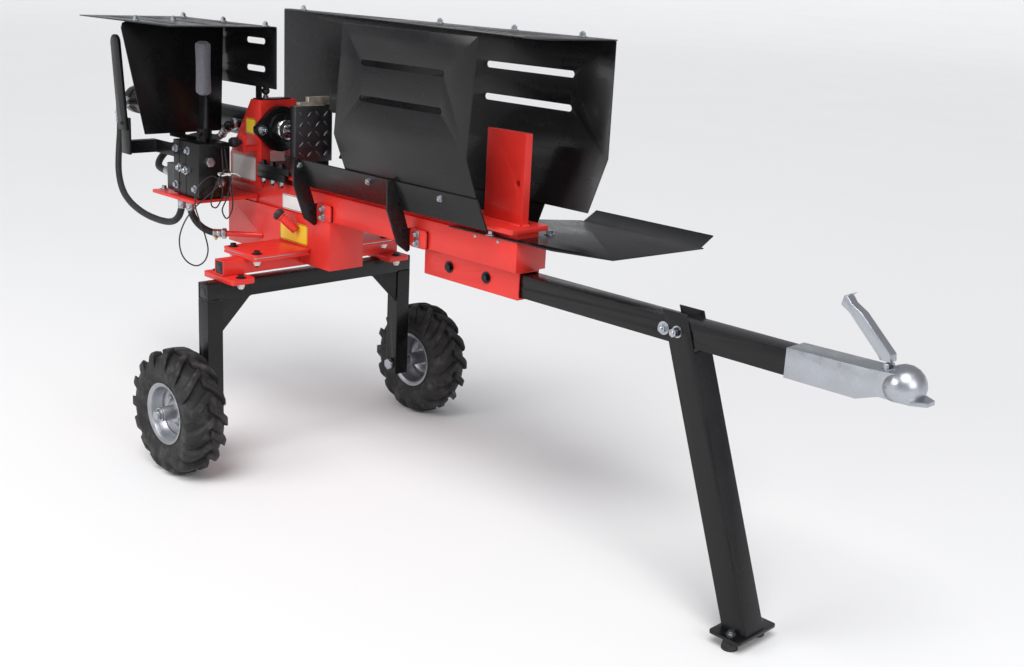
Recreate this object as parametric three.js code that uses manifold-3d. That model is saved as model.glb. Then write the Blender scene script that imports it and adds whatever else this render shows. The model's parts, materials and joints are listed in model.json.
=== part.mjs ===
// Horizontal hydraulic log splitter on a two-wheel trailer frame, with parking leg and ball coupler.
// Millimetres, +Z up, +X towards the coupler, the operator stands on the -Y side.
// The design is drawn with x = 0 over the wheel axle. The exported group is shifted along X so that
// the origin is on the ground at the middle of the machine's length.
import * as THREE from "three";
import { mergeVertices } from "three/addons/utils/BufferGeometryUtils.js";
import Module from "manifold-3d";

const wasm = await Module();
wasm.setup();

// ---- driving dimensions ----------------------------------------------------------------------
const GAP = 0.3; // clearance between neighbouring pieces
const SHEET = 3; // folded sheet of guards, table and covers

const WHEEL_R = 170; // 13x5.00-6 tyre over its lugs
const TYRE_W = 120;
const WHEEL_Y = 427; // half the track
const BEAD_R = 75;
const RIM_FLANGE_R = 84;
const STUB_R = 10; // M20 stub axle bolt

const AXLE_SIZE = 46; // square tube
const AXLE_TOP = 510;
const AXLE_HALF = 350;
const AXLE_WALL = 4;
const POST_BOTTOM = 140;

const MOUNT_SIZE = 42; // red cross tube that carries the tank and beam
const MOUNT_BOTTOM = 526;
const MOUNT_HALF = 300;

const BEAM_BOTTOM = 672;
const BEAM_TOP = 745;
const BEAM_W = 100;
const BEAM_WALL = 6;
const BEAM_REAR = -330;
const BEAM_FRONT = 865;

const RAIL_W = 124; // plate that the pusher runs on, raised above the beam on a narrower riser
const RAIL_T = 12;
const RAIL_TOP = 774;
const RAIL_REAR = -157;
const RAIL_FRONT = 858;
const RISER_HALF = 36;

const TANK_BOTTOM = 538;
const TANK_REAR = -330;
const TANK_FRONT = 163;
const TANK_W = 114;

const SOCKET_SIZE = 68;
const SOCKET_REAR = 526;
const DRAWBAR_SIZE = 54;
const DRAWBAR_FRONT = 1640;
const DRAWBAR_Z = BEAM_BOTTOM - SOCKET_SIZE / 2;

const BORE_Z = 885; // hydraulic cylinder axis
const BARREL_R = 40;
const BARREL_REAR = -930;
const FLANGE_X = -157.7; // rear face of the flange that the cylinder is bolted by
const FLANGE_FACE = FLANGE_X + 18;
const MOUNT_HIGH = 965; // top of the cylinder's mount
const ROD_R = 17.5;

const PUSHER_FACE = 10;
const PUSHER_TOP = 966;
const PLATE_T = 12; // tread plate

const GUARD_Y = 162; // half the width between the upright guards
const GUARD_TOP = 1206;
const FOLD_Z = 935;
const CRADLE_Y = 81; // lower inner edge of the log cradle plates
const CRADLE_Z = 766;
const CRADLE_TOP = 842;
const CRADLE_T = 4;
const CRADLE_REAR = 40;
const CRADLE_FRONT = 798;
const ARMS_X = [100, 490]; // support arms under the cradle plates
const SLOPE = (GUARD_Y - CRADLE_Y) / (FOLD_Z - CRADLE_Z);

const WEDGE_EDGE = 700;
const WEDGE_TOP = 990;

const LEG_X = 1330; // pivot of the parking leg on the drawbar
const LEG_LEAN = THREE.MathUtils.degToRad(19.5);

const COUPLER_REAR = 1597;
const COUPLER_BALL_X = 1836;
const COUPLER_NOSE = 1892;

const LEVER_ROOF_Z = 1166;
const LEVER_ROOF_REAR = -590;
const LEVER_ROOF_FRONT = -100;
const LEVER_ROOF_NEAR = -372;
const LEVER_ROOF_FAR = -46;

const CROSS_PANEL_X = -360;
const VALVE_REAR = -306;
const VALVE_FRONT = -176;
const VALVE_Y = -200;
const VALVE_BOTTOM = 700;
const VALVE_TOP = 850;
const LEVER_X = -226;
const LEVER_PIVOT_Z = 872;

const KNOB_X = -190; // axis of the stop knob, in its ear on the cylinder mount
const KNOB_Z = 848;

const SECOND_LEVER_X = -404;
const SECOND_LEVER_Y = -352;

const REAR_CAP = 34; // length of the cylinder's rear cap behind the barrel
const ORIGIN_X = (COUPLER_NOSE + BARREL_REAR - REAR_CAP) / 2;

// ---- finishes --------------------------------------------------------------------------------
const finish = (color, roughness, metalness) =>
  new THREE.MeshStandardMaterial({ color, roughness, metalness });
const RED = finish(0xd8231f, 0.35, 0.1);
const BLACK = finish(0x17181b, 0.3, 0.15);
const ZINC = finish(0xb9bec4, 0.35, 0.9);
const CHROME = finish(0xd9dde0, 0.12, 1);
const TYRE = finish(0x1d1e20, 0.85, 0);
const RUBBER = finish(0x16171a, 0.8, 0);
const PLASTIC = finish(0x141518, 0.5, 0);
const FOAM = finish(0x4a4d52, 0.9, 0);

// ---- solids ----------------------------------------------------------------------------------
function solid(geometry) {
  const bare = geometry.clone();
  for (const name of Object.keys(bare.attributes)) if (name !== "position") bare.deleteAttribute(name);
  const merged = mergeVertices(bare, 1e-3);
  return new wasm.Manifold(
    new wasm.Mesh({
      numProp: 3,
      vertProperties: new Float32Array(merged.attributes.position.array),
      triVerts: new Uint32Array(merged.index.array),
    }),
  );
}

function geometryOf(body) {
  const m = body.getMesh();
  const geometry = new THREE.BufferGeometry();
  const xyz = new Float32Array(m.numVert * 3);
  for (let i = 0; i < m.numVert; i++) {
    xyz.set(m.vertProperties.subarray(i * m.numProp, i * m.numProp + 3), i * 3);
  }
  geometry.setAttribute("position", new THREE.BufferAttribute(xyz, 3));
  geometry.setIndex(new THREE.BufferAttribute(new Uint32Array(m.triVerts), 1));
  geometry.computeVertexNormals();
  return geometry;
}

const joined = (...bodies) => bodies.reduce((a, b) => a.add(b));
const cut = (body, ...tools) => tools.reduce((a, b) => a.subtract(b), body);

// An axis-aligned block between two corners.
function block(x0, x1, y0, y1, z0, z1) {
  const g = new THREE.BoxGeometry(x1 - x0, y1 - y0, z1 - z0);
  g.translate((x0 + x1) / 2, (y0 + y1) / 2, (z0 + z1) / 2);
  return solid(g);
}

const TURN = {
  x: new THREE.Matrix4().makeBasis(
    new THREE.Vector3(0, 1, 0), new THREE.Vector3(0, 0, 1), new THREE.Vector3(1, 0, 0)),
  y: new THREE.Matrix4().makeBasis(
    new THREE.Vector3(0, 0, 1), new THREE.Vector3(1, 0, 0), new THREE.Vector3(0, 1, 0)),
  z: new THREE.Matrix4(),
};

// A flat outline extruded along an axis. Outline axes: x -> (y, z), y -> (z, x), z -> (x, y).
function slab(axis, outline, from, to, holes = []) {
  const drawn = outline instanceof THREE.Shape;
  const shape = drawn ? outline : new THREE.Shape(outline.map((p) => new THREE.Vector2(...p)));
  shape.holes.push(...holes);
  const g = new THREE.ExtrudeGeometry(shape, { depth: to - from, bevelEnabled: false, curveSegments: 4 });
  g.translate(0, 0, from);
  g.applyMatrix4(TURN[axis]);
  return solid(g);
}

// A round bar along an axis through the given point of the outline plane.
function bar(axis, radius, u, v, from, to, sides = 20) {
  const shape = new THREE.Shape();
  for (let i = 0; i < sides; i++) {
    const a = (i / sides) * 2 * Math.PI;
    shape[i ? "lineTo" : "moveTo"](u + radius * Math.cos(a), v + radius * Math.sin(a));
  }
  shape.closePath();
  return slab(axis, shape, from, to);
}

const hexagon = (axis, acrossFlats, u, v, from, to) =>
  bar(axis, acrossFlats / Math.sqrt(3), u, v, from, to, 6);

// A round bar from one point to another.
function rod(start, end, radius, sides = 16) {
  const a = new THREE.Vector3(...start);
  const along = new THREE.Vector3(...end).sub(a);
  const g = new THREE.CylinderGeometry(radius, radius, along.length(), sides);
  const turn = new THREE.Quaternion();
  turn.setFromUnitVectors(new THREE.Vector3(0, 1, 0), along.clone().normalize());
  g.applyQuaternion(turn);
  const middle = a.addScaledVector(along, 0.5);
  return solid(g.translate(middle.x, middle.y, middle.z));
}

const ball = (radius, x, y, z) =>
  solid(new THREE.SphereGeometry(radius, 12, 8).translate(x, y, z));

// A closed profile of [radius, along] points turned about the Y axis through (x, z).
function turnedY(profile, x, z, segments = 26) {
  const area = THREE.ShapeUtils.area(profile.map(([r, a]) => new THREE.Vector2(r, a)));
  const ordered = area > 0 ? [...profile] : [...profile].reverse();
  const points = [...ordered, ordered[0]].map(([r, a]) => new THREE.Vector2(r, a));
  return solid(new THREE.LatheGeometry(points, segments).translate(x, 0, z));
}

// A long slot with round ends in an outline plane, used as a hole in a slab.
function slotHole(u, v, length, height) {
  const r = height / 2;
  const path = new THREE.Path();
  path.moveTo(u - length / 2 + r, v - r);
  path.lineTo(u + length / 2 - r, v - r);
  path.absarc(u + length / 2 - r, v, r, -Math.PI / 2, Math.PI / 2, false);
  path.lineTo(u - length / 2 + r, v + r);
  path.absarc(u - length / 2 + r, v, r, Math.PI / 2, 1.5 * Math.PI, false);
  return path;
}

// A rectangle with rounded corners as a shape.
function roundedRect(u0, u1, v0, v1, r) {
  const s = new THREE.Shape();
  s.moveTo(u0 + r, v0);
  s.lineTo(u1 - r, v0);
  s.absarc(u1 - r, v0 + r, r, -Math.PI / 2, 0, false);
  s.lineTo(u1, v1 - r);
  s.absarc(u1 - r, v1 - r, r, 0, Math.PI / 2, false);
  s.lineTo(u0 + r, v1);
  s.absarc(u0 + r, v1 - r, r, Math.PI / 2, Math.PI, false);
  s.lineTo(u0, v0 + r);
  s.absarc(u0 + r, v0 + r, r, Math.PI, 1.5 * Math.PI, false);
  return s;
}

// A solid round section swept along a smooth curve through the points.
function swept(points, radius, sides, steps) {
  const shape = new THREE.Shape();
  for (let i = 0; i < sides; i++) {
    const a = (i / sides) * 2 * Math.PI;
    shape[i ? "lineTo" : "moveTo"](radius * Math.cos(a), radius * Math.sin(a));
  }
  shape.closePath();
  const route = points.map((p) => new THREE.Vector3(...p));
  const curve = new THREE.CatmullRomCurve3(route, false, "centripetal");
  return solid(new THREE.ExtrudeGeometry(shape, { steps, extrudePath: curve, bevelEnabled: false }));
}

// A square tube along an axis, hollow right through.
function squareTube(axis, size, wall, u, v, from, to) {
  const h = size / 2;
  const k = h - wall;
  const rim = [[u - h, v - h], [u + h, v - h], [u + h, v + h], [u - h, v + h]];
  const inner = new THREE.Path([[u - k, v - k], [u + k, v - k], [u + k, v + k], [u - k, v + k]]
    .map((p) => new THREE.Vector2(...p)));
  return slab(axis, rim, from, to, [inner]);
}

const group = new THREE.Group();
group.position.x = -ORIGIN_X;

function add(name, body, material) {
  const mesh = new THREE.Mesh(geometryOf(body), material);
  mesh.name = name;
  group.add(mesh);
}

// The two sides of the machine: the operator's side is near, the other is far.
const SIDES = [["near", -1], ["far", 1]];
const span = (side, a, b) => (side < 0 ? [-b, -a] : [a, b]);

// ---- wheels and stub axles -------------------------------------------------------------------
function makeWheels() {
  const half = TYRE_W / 2;
  for (const [label, side] of SIDES) {
    const y = side * WHEEL_Y;
    const outer = [[BEAD_R, 43], [86, 43], [98, 53], [125, half - 1], [158, half - 5], [WHEEL_R, 34]];
    const inner = [[158, 38], [125, 50], [98, 42], [BEAD_R, 34]];
    const mirror = (list) => list.map(([r, a]) => [r, -a]).reverse();
    const profile = [...outer, ...mirror(outer), ...mirror(inner), ...inner];
    add(`tyre_${label}`, turnedY(profile, 0, WHEEL_R).translate([0, y, 0]), TYRE);

    const rimOut = 44 + 4;
    const barrel = turnedY([[68, -rimOut], [RIM_FLANGE_R, -rimOut], [RIM_FLANGE_R, -44], [72, -44],
      [72, 44], [RIM_FLANGE_R, 44], [RIM_FLANGE_R, rimOut], [68, rimOut]], 0, WHEEL_R);
    const disc = turnedY([[15, 8], [52, -2], [70, -2], [70, 3], [52, 3], [15, 13]], 0, WHEEL_R);
    const hub = turnedY([[STUB_R + 0.5, -56], [19, -56], [19, 56], [STUB_R + 0.5, 56]], 0, WHEEL_R, 24);
    add(`rim_${label}`, joined(barrel, disc, hub).translate([0, y, 0]), ZINC);

    const inside = AXLE_HALF - AXLE_SIZE;
    const axle = joined(
      bar("y", STUB_R, WHEEL_R, 0, ...span(side, inside - 12, WHEEL_Y + 66), 16),
      hexagon("y", 30, WHEEL_R, 0, ...span(side, inside - 13, inside - GAP)),
      bar("y", 16, WHEEL_R, 0, ...span(side, AXLE_HALF + GAP, WHEEL_Y - 56 - GAP), 16),
      hexagon("y", 30, WHEEL_R, 0, ...span(side, WHEEL_Y + 56 + GAP, WHEEL_Y + 56 + 16)));
    add(`stub_axle_${label}`, axle, ZINC);
  }
}

// ---- axle frame ------------------------------------------------------------------------------
function makeAxle() {
  const z = AXLE_TOP - AXLE_SIZE / 2;
  add("axle_cross_tube", squareTube("y", AXLE_SIZE, AXLE_WALL, z, 0, -AXLE_HALF, AXLE_HALF), BLACK);
  const h = AXLE_SIZE / 2;
  const underside = AXLE_TOP - AXLE_SIZE - GAP;
  for (const [label, side] of SIDES) {
    const tube = squareTube("z", AXLE_SIZE, AXLE_WALL, 0, side * (AXLE_HALF - h), POST_BOTTOM, underside);
    const hole = bar("y", STUB_R + 0.4, WHEEL_R, 0, ...span(side, AXLE_HALF - AXLE_SIZE - 5, AXLE_HALF + 5));
    const inner = AXLE_HALF - AXLE_SIZE + 1;
    const web = 95;
    const gusset = slab("x", [[side * inner, underside], [side * (inner - web), underside],
      [side * inner, underside - web]], h - 12, h - 7);
    add(`axle_post_${label}`, joined(cut(tube, hole), gusset), BLACK);

    const plateTop = MOUNT_BOTTOM - GAP;
    const [a, b] = span(side, 232, 304);
    const plate = slab("z", roundedRect(-72, 72, a, b, 8), AXLE_TOP + GAP, plateTop);
    const bolts = [-56, 56].flatMap((x) => [
      bar("z", 5, x, side * 268, AXLE_TOP - 14, plateTop - 1, 8),
      hexagon("z", 16, x, side * 268, plateTop - 1, plateTop + 9),
      hexagon("z", 17, x, side * 268, AXLE_TOP - 11, AXLE_TOP + 1),
    ]);
    add(`axle_flange_${label}`, joined(plate, ...bolts), RED);
  }
}

// ---- tank, mount tube and beam ---------------------------------------------------------------
const MOUNT_TOP = MOUNT_BOTTOM + MOUNT_SIZE;
const EAR_LOW = MOUNT_TOP + GAP; // underside of the bolted flange pair
const PLATE = 7; // each plate of the pair, with a 3 mm shim between them
const EAR_TOP = EAR_LOW + 2 * PLATE + 3;
const FILLER = [[8, -74, 640], [-14, -92, 664]]; // upper part of the filler neck, up to its cap
const TANK_PIPE = [[-158, -54, 580], [-241.8, -135.8, 580]]; // return pipe out of the tank's side

function makeChassis() {
  const tubeZ = MOUNT_BOTTOM + MOUNT_SIZE / 2;
  add("mount_tube", squareTube("y", MOUNT_SIZE, 4, tubeZ, 0, -MOUNT_HALF, MOUNT_HALF), RED);

  const w = TANK_W / 2;
  const top = BEAM_BOTTOM - GAP;
  const shell = block(TANK_REAR, TANK_FRONT, -w, w, TANK_BOTTOM, top);
  const inside = block(TANK_REAR + 3, TANK_FRONT - 3, -w + 3, w - 3, TANK_BOTTOM + 3, top - 3);
  const saddleWall = block(-31, 31, -w + 1, w - 1, TANK_BOTTOM + 1, MOUNT_TOP + 8);
  const saddle = block(-25, 25, -w - 5, w + 5, TANK_BOTTOM - 5, MOUNT_TOP + 4);
  const fillerHole = bar("y", 14, 628, 20, -w - 1, -w + 4);
  const pipe = rod(TANK_PIPE[0], TANK_PIPE[1], 9, 12);
  add("oil_tank", joined(cut(joined(cut(shell, inside), saddleWall), saddle, fillerHole), pipe), RED);

  for (const [label, side] of SIDES) {
    const [a, b] = span(side, w + GAP, 238);
    const lower = slab("z", roundedRect(-78, 78, a, b, 8), EAR_LOW, EAR_LOW + PLATE);
    const upper = slab("z", roundedRect(-78, 78, a, b, 8), EAR_TOP - PLATE, EAR_TOP);
    const shim = slab("z", roundedRect(-74, 74, a + 4, b - 4, 4), EAR_LOW + PLATE - 1, EAR_TOP - PLATE + 1);
    const bolts = [-57, 57].flatMap((x) => [
      bar("z", 5, x, side * 218, EAR_LOW - 18, EAR_TOP + 1, 8),
      hexagon("z", 17, x, side * 218, EAR_LOW - 13, EAR_LOW + 1),
      hexagon("z", 16, x, side * 218, EAR_TOP - 1, EAR_TOP + 9),
    ]);
    add(`tank_flange_${label}`, joined(lower, shim, upper, ...bolts), RED);
  }

  const b = BEAM_W / 2;
  const shellOut = block(BEAM_REAR, BEAM_FRONT, -b, b, BEAM_BOTTOM, BEAM_TOP);
  const hollow = block(BEAM_REAR - 1, BEAM_FRONT - BEAM_WALL, -b + BEAM_WALL, b - BEAM_WALL,
    BEAM_BOTTOM + BEAM_WALL, BEAM_TOP - BEAM_WALL);
  add("main_beam", cut(shellOut, hollow), RED);

  const railHalf = RAIL_W / 2;
  const railBottom = RAIL_TOP - RAIL_T;
  const railOutline = roundedRect(RAIL_REAR, RAIL_FRONT, -railHalf, railHalf, 6);
  const railPlate = slab("z", railOutline, railBottom, RAIL_TOP);
  const riser = block(RAIL_REAR, RAIL_FRONT - 8, -RISER_HALF, RISER_HALF, BEAM_TOP + GAP, railBottom + 1);
  add("slide_rail", joined(railPlate, riser), RED);

  const neck = swept([[20, -w - 8, 628], ...FILLER], 13, 12, 4);
  add("filler_neck", neck, RED);
}

// ---- drawbar, coupler and parking leg --------------------------------------------------------
function makeTowing() {
  const bolts = [620, 752];
  const holes = bolts.map((x) => bar("y", 6.6, DRAWBAR_Z, x, -60, 60, 10));
  const socket = squareTube("x", SOCKET_SIZE, 5, 0, DRAWBAR_Z - GAP, SOCKET_REAR, BEAM_FRONT - 4);
  add("drawbar_socket", cut(socket, ...holes), RED);
  const tube = squareTube("x", DRAWBAR_SIZE, 4, 0, DRAWBAR_Z - GAP, SOCKET_REAR + 34, DRAWBAR_FRONT);
  const legHole = bar("y", 6.6, DRAWBAR_Z, LEG_X, -40, 40, 10);
  const lockHole = bar("y", 6.6, DRAWBAR_Z, LEG_X - 36, -40, 40, 10);
  add("drawbar", cut(tube, ...holes, legHole, lockHole), BLACK);
  // pressed steel coupler: open channel over the drawbar's end, ball dome and lip
  const z = DRAWBAR_Z - GAP;
  const outerW = DRAWBAR_SIZE / 2 + 4;
  const innerW = DRAWBAR_SIZE / 2 + GAP;
  const roofZ = z + DRAWBAR_SIZE / 2 + GAP;
  const side = [[z - 30, COUPLER_REAR], [z - 30, COUPLER_BALL_X - 80], [z - 14, COUPLER_BALL_X - 34],
    [z - 10, COUPLER_BALL_X], [z + 38, COUPLER_BALL_X], [z + 34, COUPLER_BALL_X - 60],
    [roofZ + 4, COUPLER_REAR]];
  const outer = slab("y", side, -outerW, outerW);
  const channel = block(COUPLER_REAR - 1, COUPLER_BALL_X - 50, -innerW, innerW, z - 60, roofZ);
  const dome = solid(new THREE.SphereGeometry(42, 18, 12).translate(COUPLER_BALL_X, 0, z + 10));
  const nose = slab("z", [[COUPLER_BALL_X - 30, -outerW], [COUPLER_BALL_X + 30, -outerW],
    [COUPLER_NOSE, -14], [COUPLER_NOSE, 14], [COUPLER_BALL_X + 30, outerW], [COUPLER_BALL_X - 30, outerW]],
  z - 14, z - 6);
  const socketBall = ball(26, COUPLER_BALL_X, 0, z + 2);
  const mouth = bar("z", 26, COUPLER_BALL_X, 0, z - 60, z + 2, 16);
  const latchSlot = block(COUPLER_BALL_X - 45, COUPLER_BALL_X - 20, -13, 13, z - 60, z + 60);
  const under = block(COUPLER_BALL_X - 60, COUPLER_BALL_X + 60, -60, 60, z - 60, z - 14);
  const shell = joined(cut(outer, channel), cut(dome, under), nose);
  add("coupler_body", cut(shell, socketBall, mouth, latchSlot), ZINC);

  const pivotX = COUPLER_BALL_X - 40;
  const pivotZ = z + 58;
  const arm = slab("y", [[pivotZ - 8, pivotX - 10], [pivotZ - 8, pivotX + 12], [pivotZ + 6, pivotX + 10],
    [pivotZ + 70, pivotX - 58], [pivotZ + 84, pivotX - 82], [pivotZ + 96, pivotX - 92],
    [pivotZ + 104, pivotX - 84], [pivotZ + 96, pivotX - 100], [pivotZ + 78, pivotX - 104],
    [pivotZ + 66, pivotX - 84], [pivotZ + 2, pivotX - 18]], -12, 12);
  add("coupler_handle", arm, ZINC);
  const latch = slab("y", [[z - 4, COUPLER_BALL_X - 42], [z - 4, COUPLER_BALL_X - 32],
    [z + 46, COUPLER_BALL_X - 30], [z + 46, COUPLER_BALL_X - 42]], -11, 11);
  add("coupler_latch", latch, ZINC);
}

// ---- cylinder and pusher ---------------------------------------------------------------------
// Elbow fittings of the two ports: corner of the elbow and the end that the hose is pressed on.
const ELBOWS = [
  { corner: [-905, -90, BORE_Z], end: [-905, -90, 845.3] },
  { corner: [-285, -84, BORE_Z], end: [-301.8, -84, 868.2] },
];

// Two-bolt flange: straight sides run from its round middle to a blunt corner at each end.
function flangeOutline() {
  const middle = 64;
  const tip = 86;
  const touch = Math.acos(middle / tip);
  const steps = 6;
  const points = [[tip, -7], [tip, 7]];
  for (let i = 0; i <= steps; i++) {
    const a = touch + ((Math.PI - 2 * touch) * i) / steps;
    points.push([middle * Math.cos(a), middle * Math.sin(a)]);
  }
  return [...points, ...points.map(([y, z]) => [-y, -z])].map(([y, z]) => [y, BORE_Z + z]);
}

function makeCylinder() {
  const fittings = ELBOWS.flatMap(({ corner, end }) => [
    bar("y", 13, BORE_Z, corner[0], -64, -36, 12),
    rod([corner[0], -60, BORE_Z], corner, 11, 12),
    ball(11, ...corner),
    rod(corner, end, 11, 12),
  ]);
  const bore = bar("x", BARREL_R - 5, 0, BORE_Z, BARREL_REAR - 1, FLANGE_X + 30, 28);
  const barrel = bar("x", BARREL_R, 0, BORE_Z, BARREL_REAR, FLANGE_FACE, 28);
  add("cylinder_barrel", cut(joined(barrel, ...fittings), bore), BLACK);
  const cap = joined(
    bar("x", BARREL_R + 4, 0, BORE_Z, BARREL_REAR - REAR_CAP, BARREL_REAR - GAP, 28),
    bar("x", BARREL_R - 5 - GAP, 0, BORE_Z, BARREL_REAR - 1, BARREL_REAR + 12, 28));
  add("cylinder_rear_cap", cap, BLACK);
  const flange = cut(joined(slab("x", flangeOutline(), FLANGE_X, FLANGE_FACE),
    bar("x", 46, 0, BORE_Z, FLANGE_FACE - 1, FLANGE_FACE + 10, 28)),
  bar("x", BARREL_R + GAP, 0, BORE_Z, FLANGE_X - 1, FLANGE_FACE + GAP, 28),
  bar("x", 28 + GAP, 0, BORE_Z, FLANGE_FACE, FLANGE_FACE + 11, 28));
  add("cylinder_flange", flange, BLACK);
  const face = FLANGE_FACE + GAP;
  const gland = joined(
    bar("x", BARREL_R - 5 - GAP, 0, BORE_Z, face - 32, FLANGE_FACE, 28),
    bar("x", 28, 0, BORE_Z, face - 2, face + 22, 28));
  add("cylinder_gland", cut(gland, bar("x", ROD_R + GAP, 0, BORE_Z, face - 40, face + 40, 20)), CHROME);

  // box-shaped mount: front plate, two cheeks that lap over the beam's sides, and a top plate
  const half = 60;
  const inner = BEAM_W / 2 + GAP;
  const foot = BEAM_TOP + GAP;
  const front = FLANGE_X - GAP;
  const back = front - 12;
  const barrelHole = bar("x", BARREL_R + GAP, 0, BORE_Z, back - 1, front + 1, 28);
  const window = block(back - 1, front + 1, -29, 29, foot - 1, 822);
  const plate = cut(block(back, front, -half, half, foot, MOUNT_HIGH), barrelHole, window);
  const cheek = [[722, -314], [722, front], [MOUNT_HIGH, front], [MOUNT_HIGH, -206], [MOUNT_HIGH - 18, -218],
    [800, -314]];
  const cheeks = SIDES.map(([, side]) => slab("y", cheek, ...span(side, inner, half)));
  const lid = block(-206, front, -half, half, MOUNT_HIGH - 10, MOUNT_HIGH);
  const earRear = KNOB_X - 38;
  const earFront = KNOB_X + 18;
  const ear = [[820, earRear], [820, earFront], [866, earFront], [870, KNOB_X - 10], [834, earRear]];
  const earArm = block(earRear + 6, earFront - 4, -99, -half + 1, 822, 834);
  const stopEar = joined(slab("y", ear, -104, -98), earArm);
  add("cylinder_mount", joined(plate, ...cheeks, lid, stopEar), RED);
}

const GIB_REAR = -154;
const GIB_FRONT = -21;
const SLIDE_LOW = RAIL_TOP + GAP;
const SLIDE_TOP = SLIDE_LOW + 18;

function makePusher() {
  const boltSpots = [-132, -88, -44];
  const gibOuter = 76;
  const boltY = 68.4;
  const back = PUSHER_FACE - PLATE_T - GAP; // rear face of the tread plate, less the gap
  const slide = block(GIB_REAR, back, -gibOuter, gibOuter, SLIDE_LOW, SLIDE_TOP);
  const body = block(-46, back, -36, 36, SLIDE_TOP - 1, 950);
  const backing = block(back - 14, back, -61, 61, SLIDE_TOP - 1, PUSHER_TOP);
  const stops = [[-40, -9, PUSHER_TOP + 8], [-10, 61, PUSHER_TOP + 22]].map(([y0, y1, top]) =>
    block(back - 14, back, y0, y1, PUSHER_TOP - 1, top));
  const pocket = bar("x", ROD_R + GAP, 0, BORE_Z, -47, back - 6, 20);
  const holes = boltSpots.flatMap((x) =>
    [-boltY, boltY].map((y) => bar("z", 5.3, x, y, SLIDE_LOW - 1, SLIDE_TOP + 1, 8)));
  add("pusher_block", cut(joined(slide, body, backing, ...stops), pocket, ...holes), BLACK);

  const chamfer = 22;
  const outline = [[-62, 812], [62, 812], [62, PUSHER_TOP - chamfer], [62 - chamfer, PUSHER_TOP],
    [-62, PUSHER_TOP]];
  add("pusher_plate", slab("x", outline, PUSHER_FACE - PLATE_T, PUSHER_FACE), BLACK);

  const gibLow = 753;
  for (const [label, side] of SIDES) {
    const edge = RAIL_W / 2 + 0.6;
    const spacer = block(GIB_REAR, GIB_FRONT, ...span(side, edge, gibOuter), gibLow, RAIL_TOP);
    const strip = block(GIB_REAR, GIB_FRONT, ...span(side, 50, gibOuter), gibLow, RAIL_TOP - RAIL_T - 0.6);
    const bolts = boltSpots.flatMap((x) => [
      bar("z", 5, x, side * boltY, gibLow - 10, SLIDE_TOP + 2, 8),
      hexagon("z", 13, x, side * boltY, gibLow - 8, gibLow + 1),
      hexagon("z", 13, x, side * boltY, SLIDE_TOP + GAP, SLIDE_TOP + 9),
    ]);
    add(`pusher_gib_${label}`, joined(spacer, strip, ...bolts), BLACK);
  }
  const rodFront = back - 7;
  const rodRear = -878;
  add("cylinder_rod", bar("x", ROD_R, 0, BORE_Z, rodRear, rodFront, 20), CHROME);
  const piston = bar("x", BARREL_R - 5 - GAP, 0, BORE_Z, rodRear - 36, rodRear - GAP, 28);
  add("cylinder_piston", piston, ZINC);
}

// ---- wedge, table, log cradle and guards -----------------------------------------------------
function makeWedge() {
  const half = 11;
  const taper = WEDGE_EDGE + 38;
  const heel = WEDGE_EDGE + 138;
  const edge = [[WEDGE_EDGE, -1.5], [taper, -half], [heel, -half], [heel, half], [taper, half],
    [WEDGE_EDGE, 1.5]];
  const blade = slab("z", edge, RAIL_TOP + GAP, WEDGE_TOP);
  add("wedge_blade", cut(blade, bar("y", 8, 872, heel - 20, -20, 20, 16)), RED);

  // sheet on top of the beam, notched around the rail's riser, with a raised far edge
  const z = BEAM_TOP + GAP;
  const outline = [[642, -62], [975, -48], [1118, -4], [1148, 284], [760, 284], [642, 120]];
  const notch = block(640, RAIL_FRONT - 8 + GAP, -RISER_HALF - GAP, RISER_HALF + GAP, z - 1, z + SHEET + 1);
  const flat = cut(slab("z", outline, z, z + SHEET), notch);
  const lip = slab("x", [[283, z], [330, z + 24], [328.5, z + 26.6], [283, z + SHEET]], 770, 1140);
  add("outfeed_table", joined(flat, lip), BLACK);
}

// The outline of a folded sheet that follows a path in a section plane, thickened to its left.
function folded(path, t) {
  const offset = path.map((p, i) => {
    const before = path[Math.max(i - 1, 0)];
    const after = path[Math.min(i + 1, path.length - 1)];
    const unit = (a, b) => {
      const d = Math.hypot(b[0] - a[0], b[1] - a[1]);
      return [(b[0] - a[0]) / d, (b[1] - a[1]) / d];
    };
    const u = i ? unit(before, p) : unit(p, after);
    const v = i < path.length - 1 ? unit(p, after) : u;
    const n = [-(u[1] + v[1]) / 2, (u[0] + v[0]) / 2];
    const k = t / (n[0] * n[0] + n[1] * n[1]);
    return [p[0] + n[0] * k, p[1] + n[1] * k];
  });
  return [...path, ...offset.reverse()];
}

const mirrored = (outline, side) =>
  (side < 0 ? outline.map(([y, z]) => [-y, z]).reverse() : outline);

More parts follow.
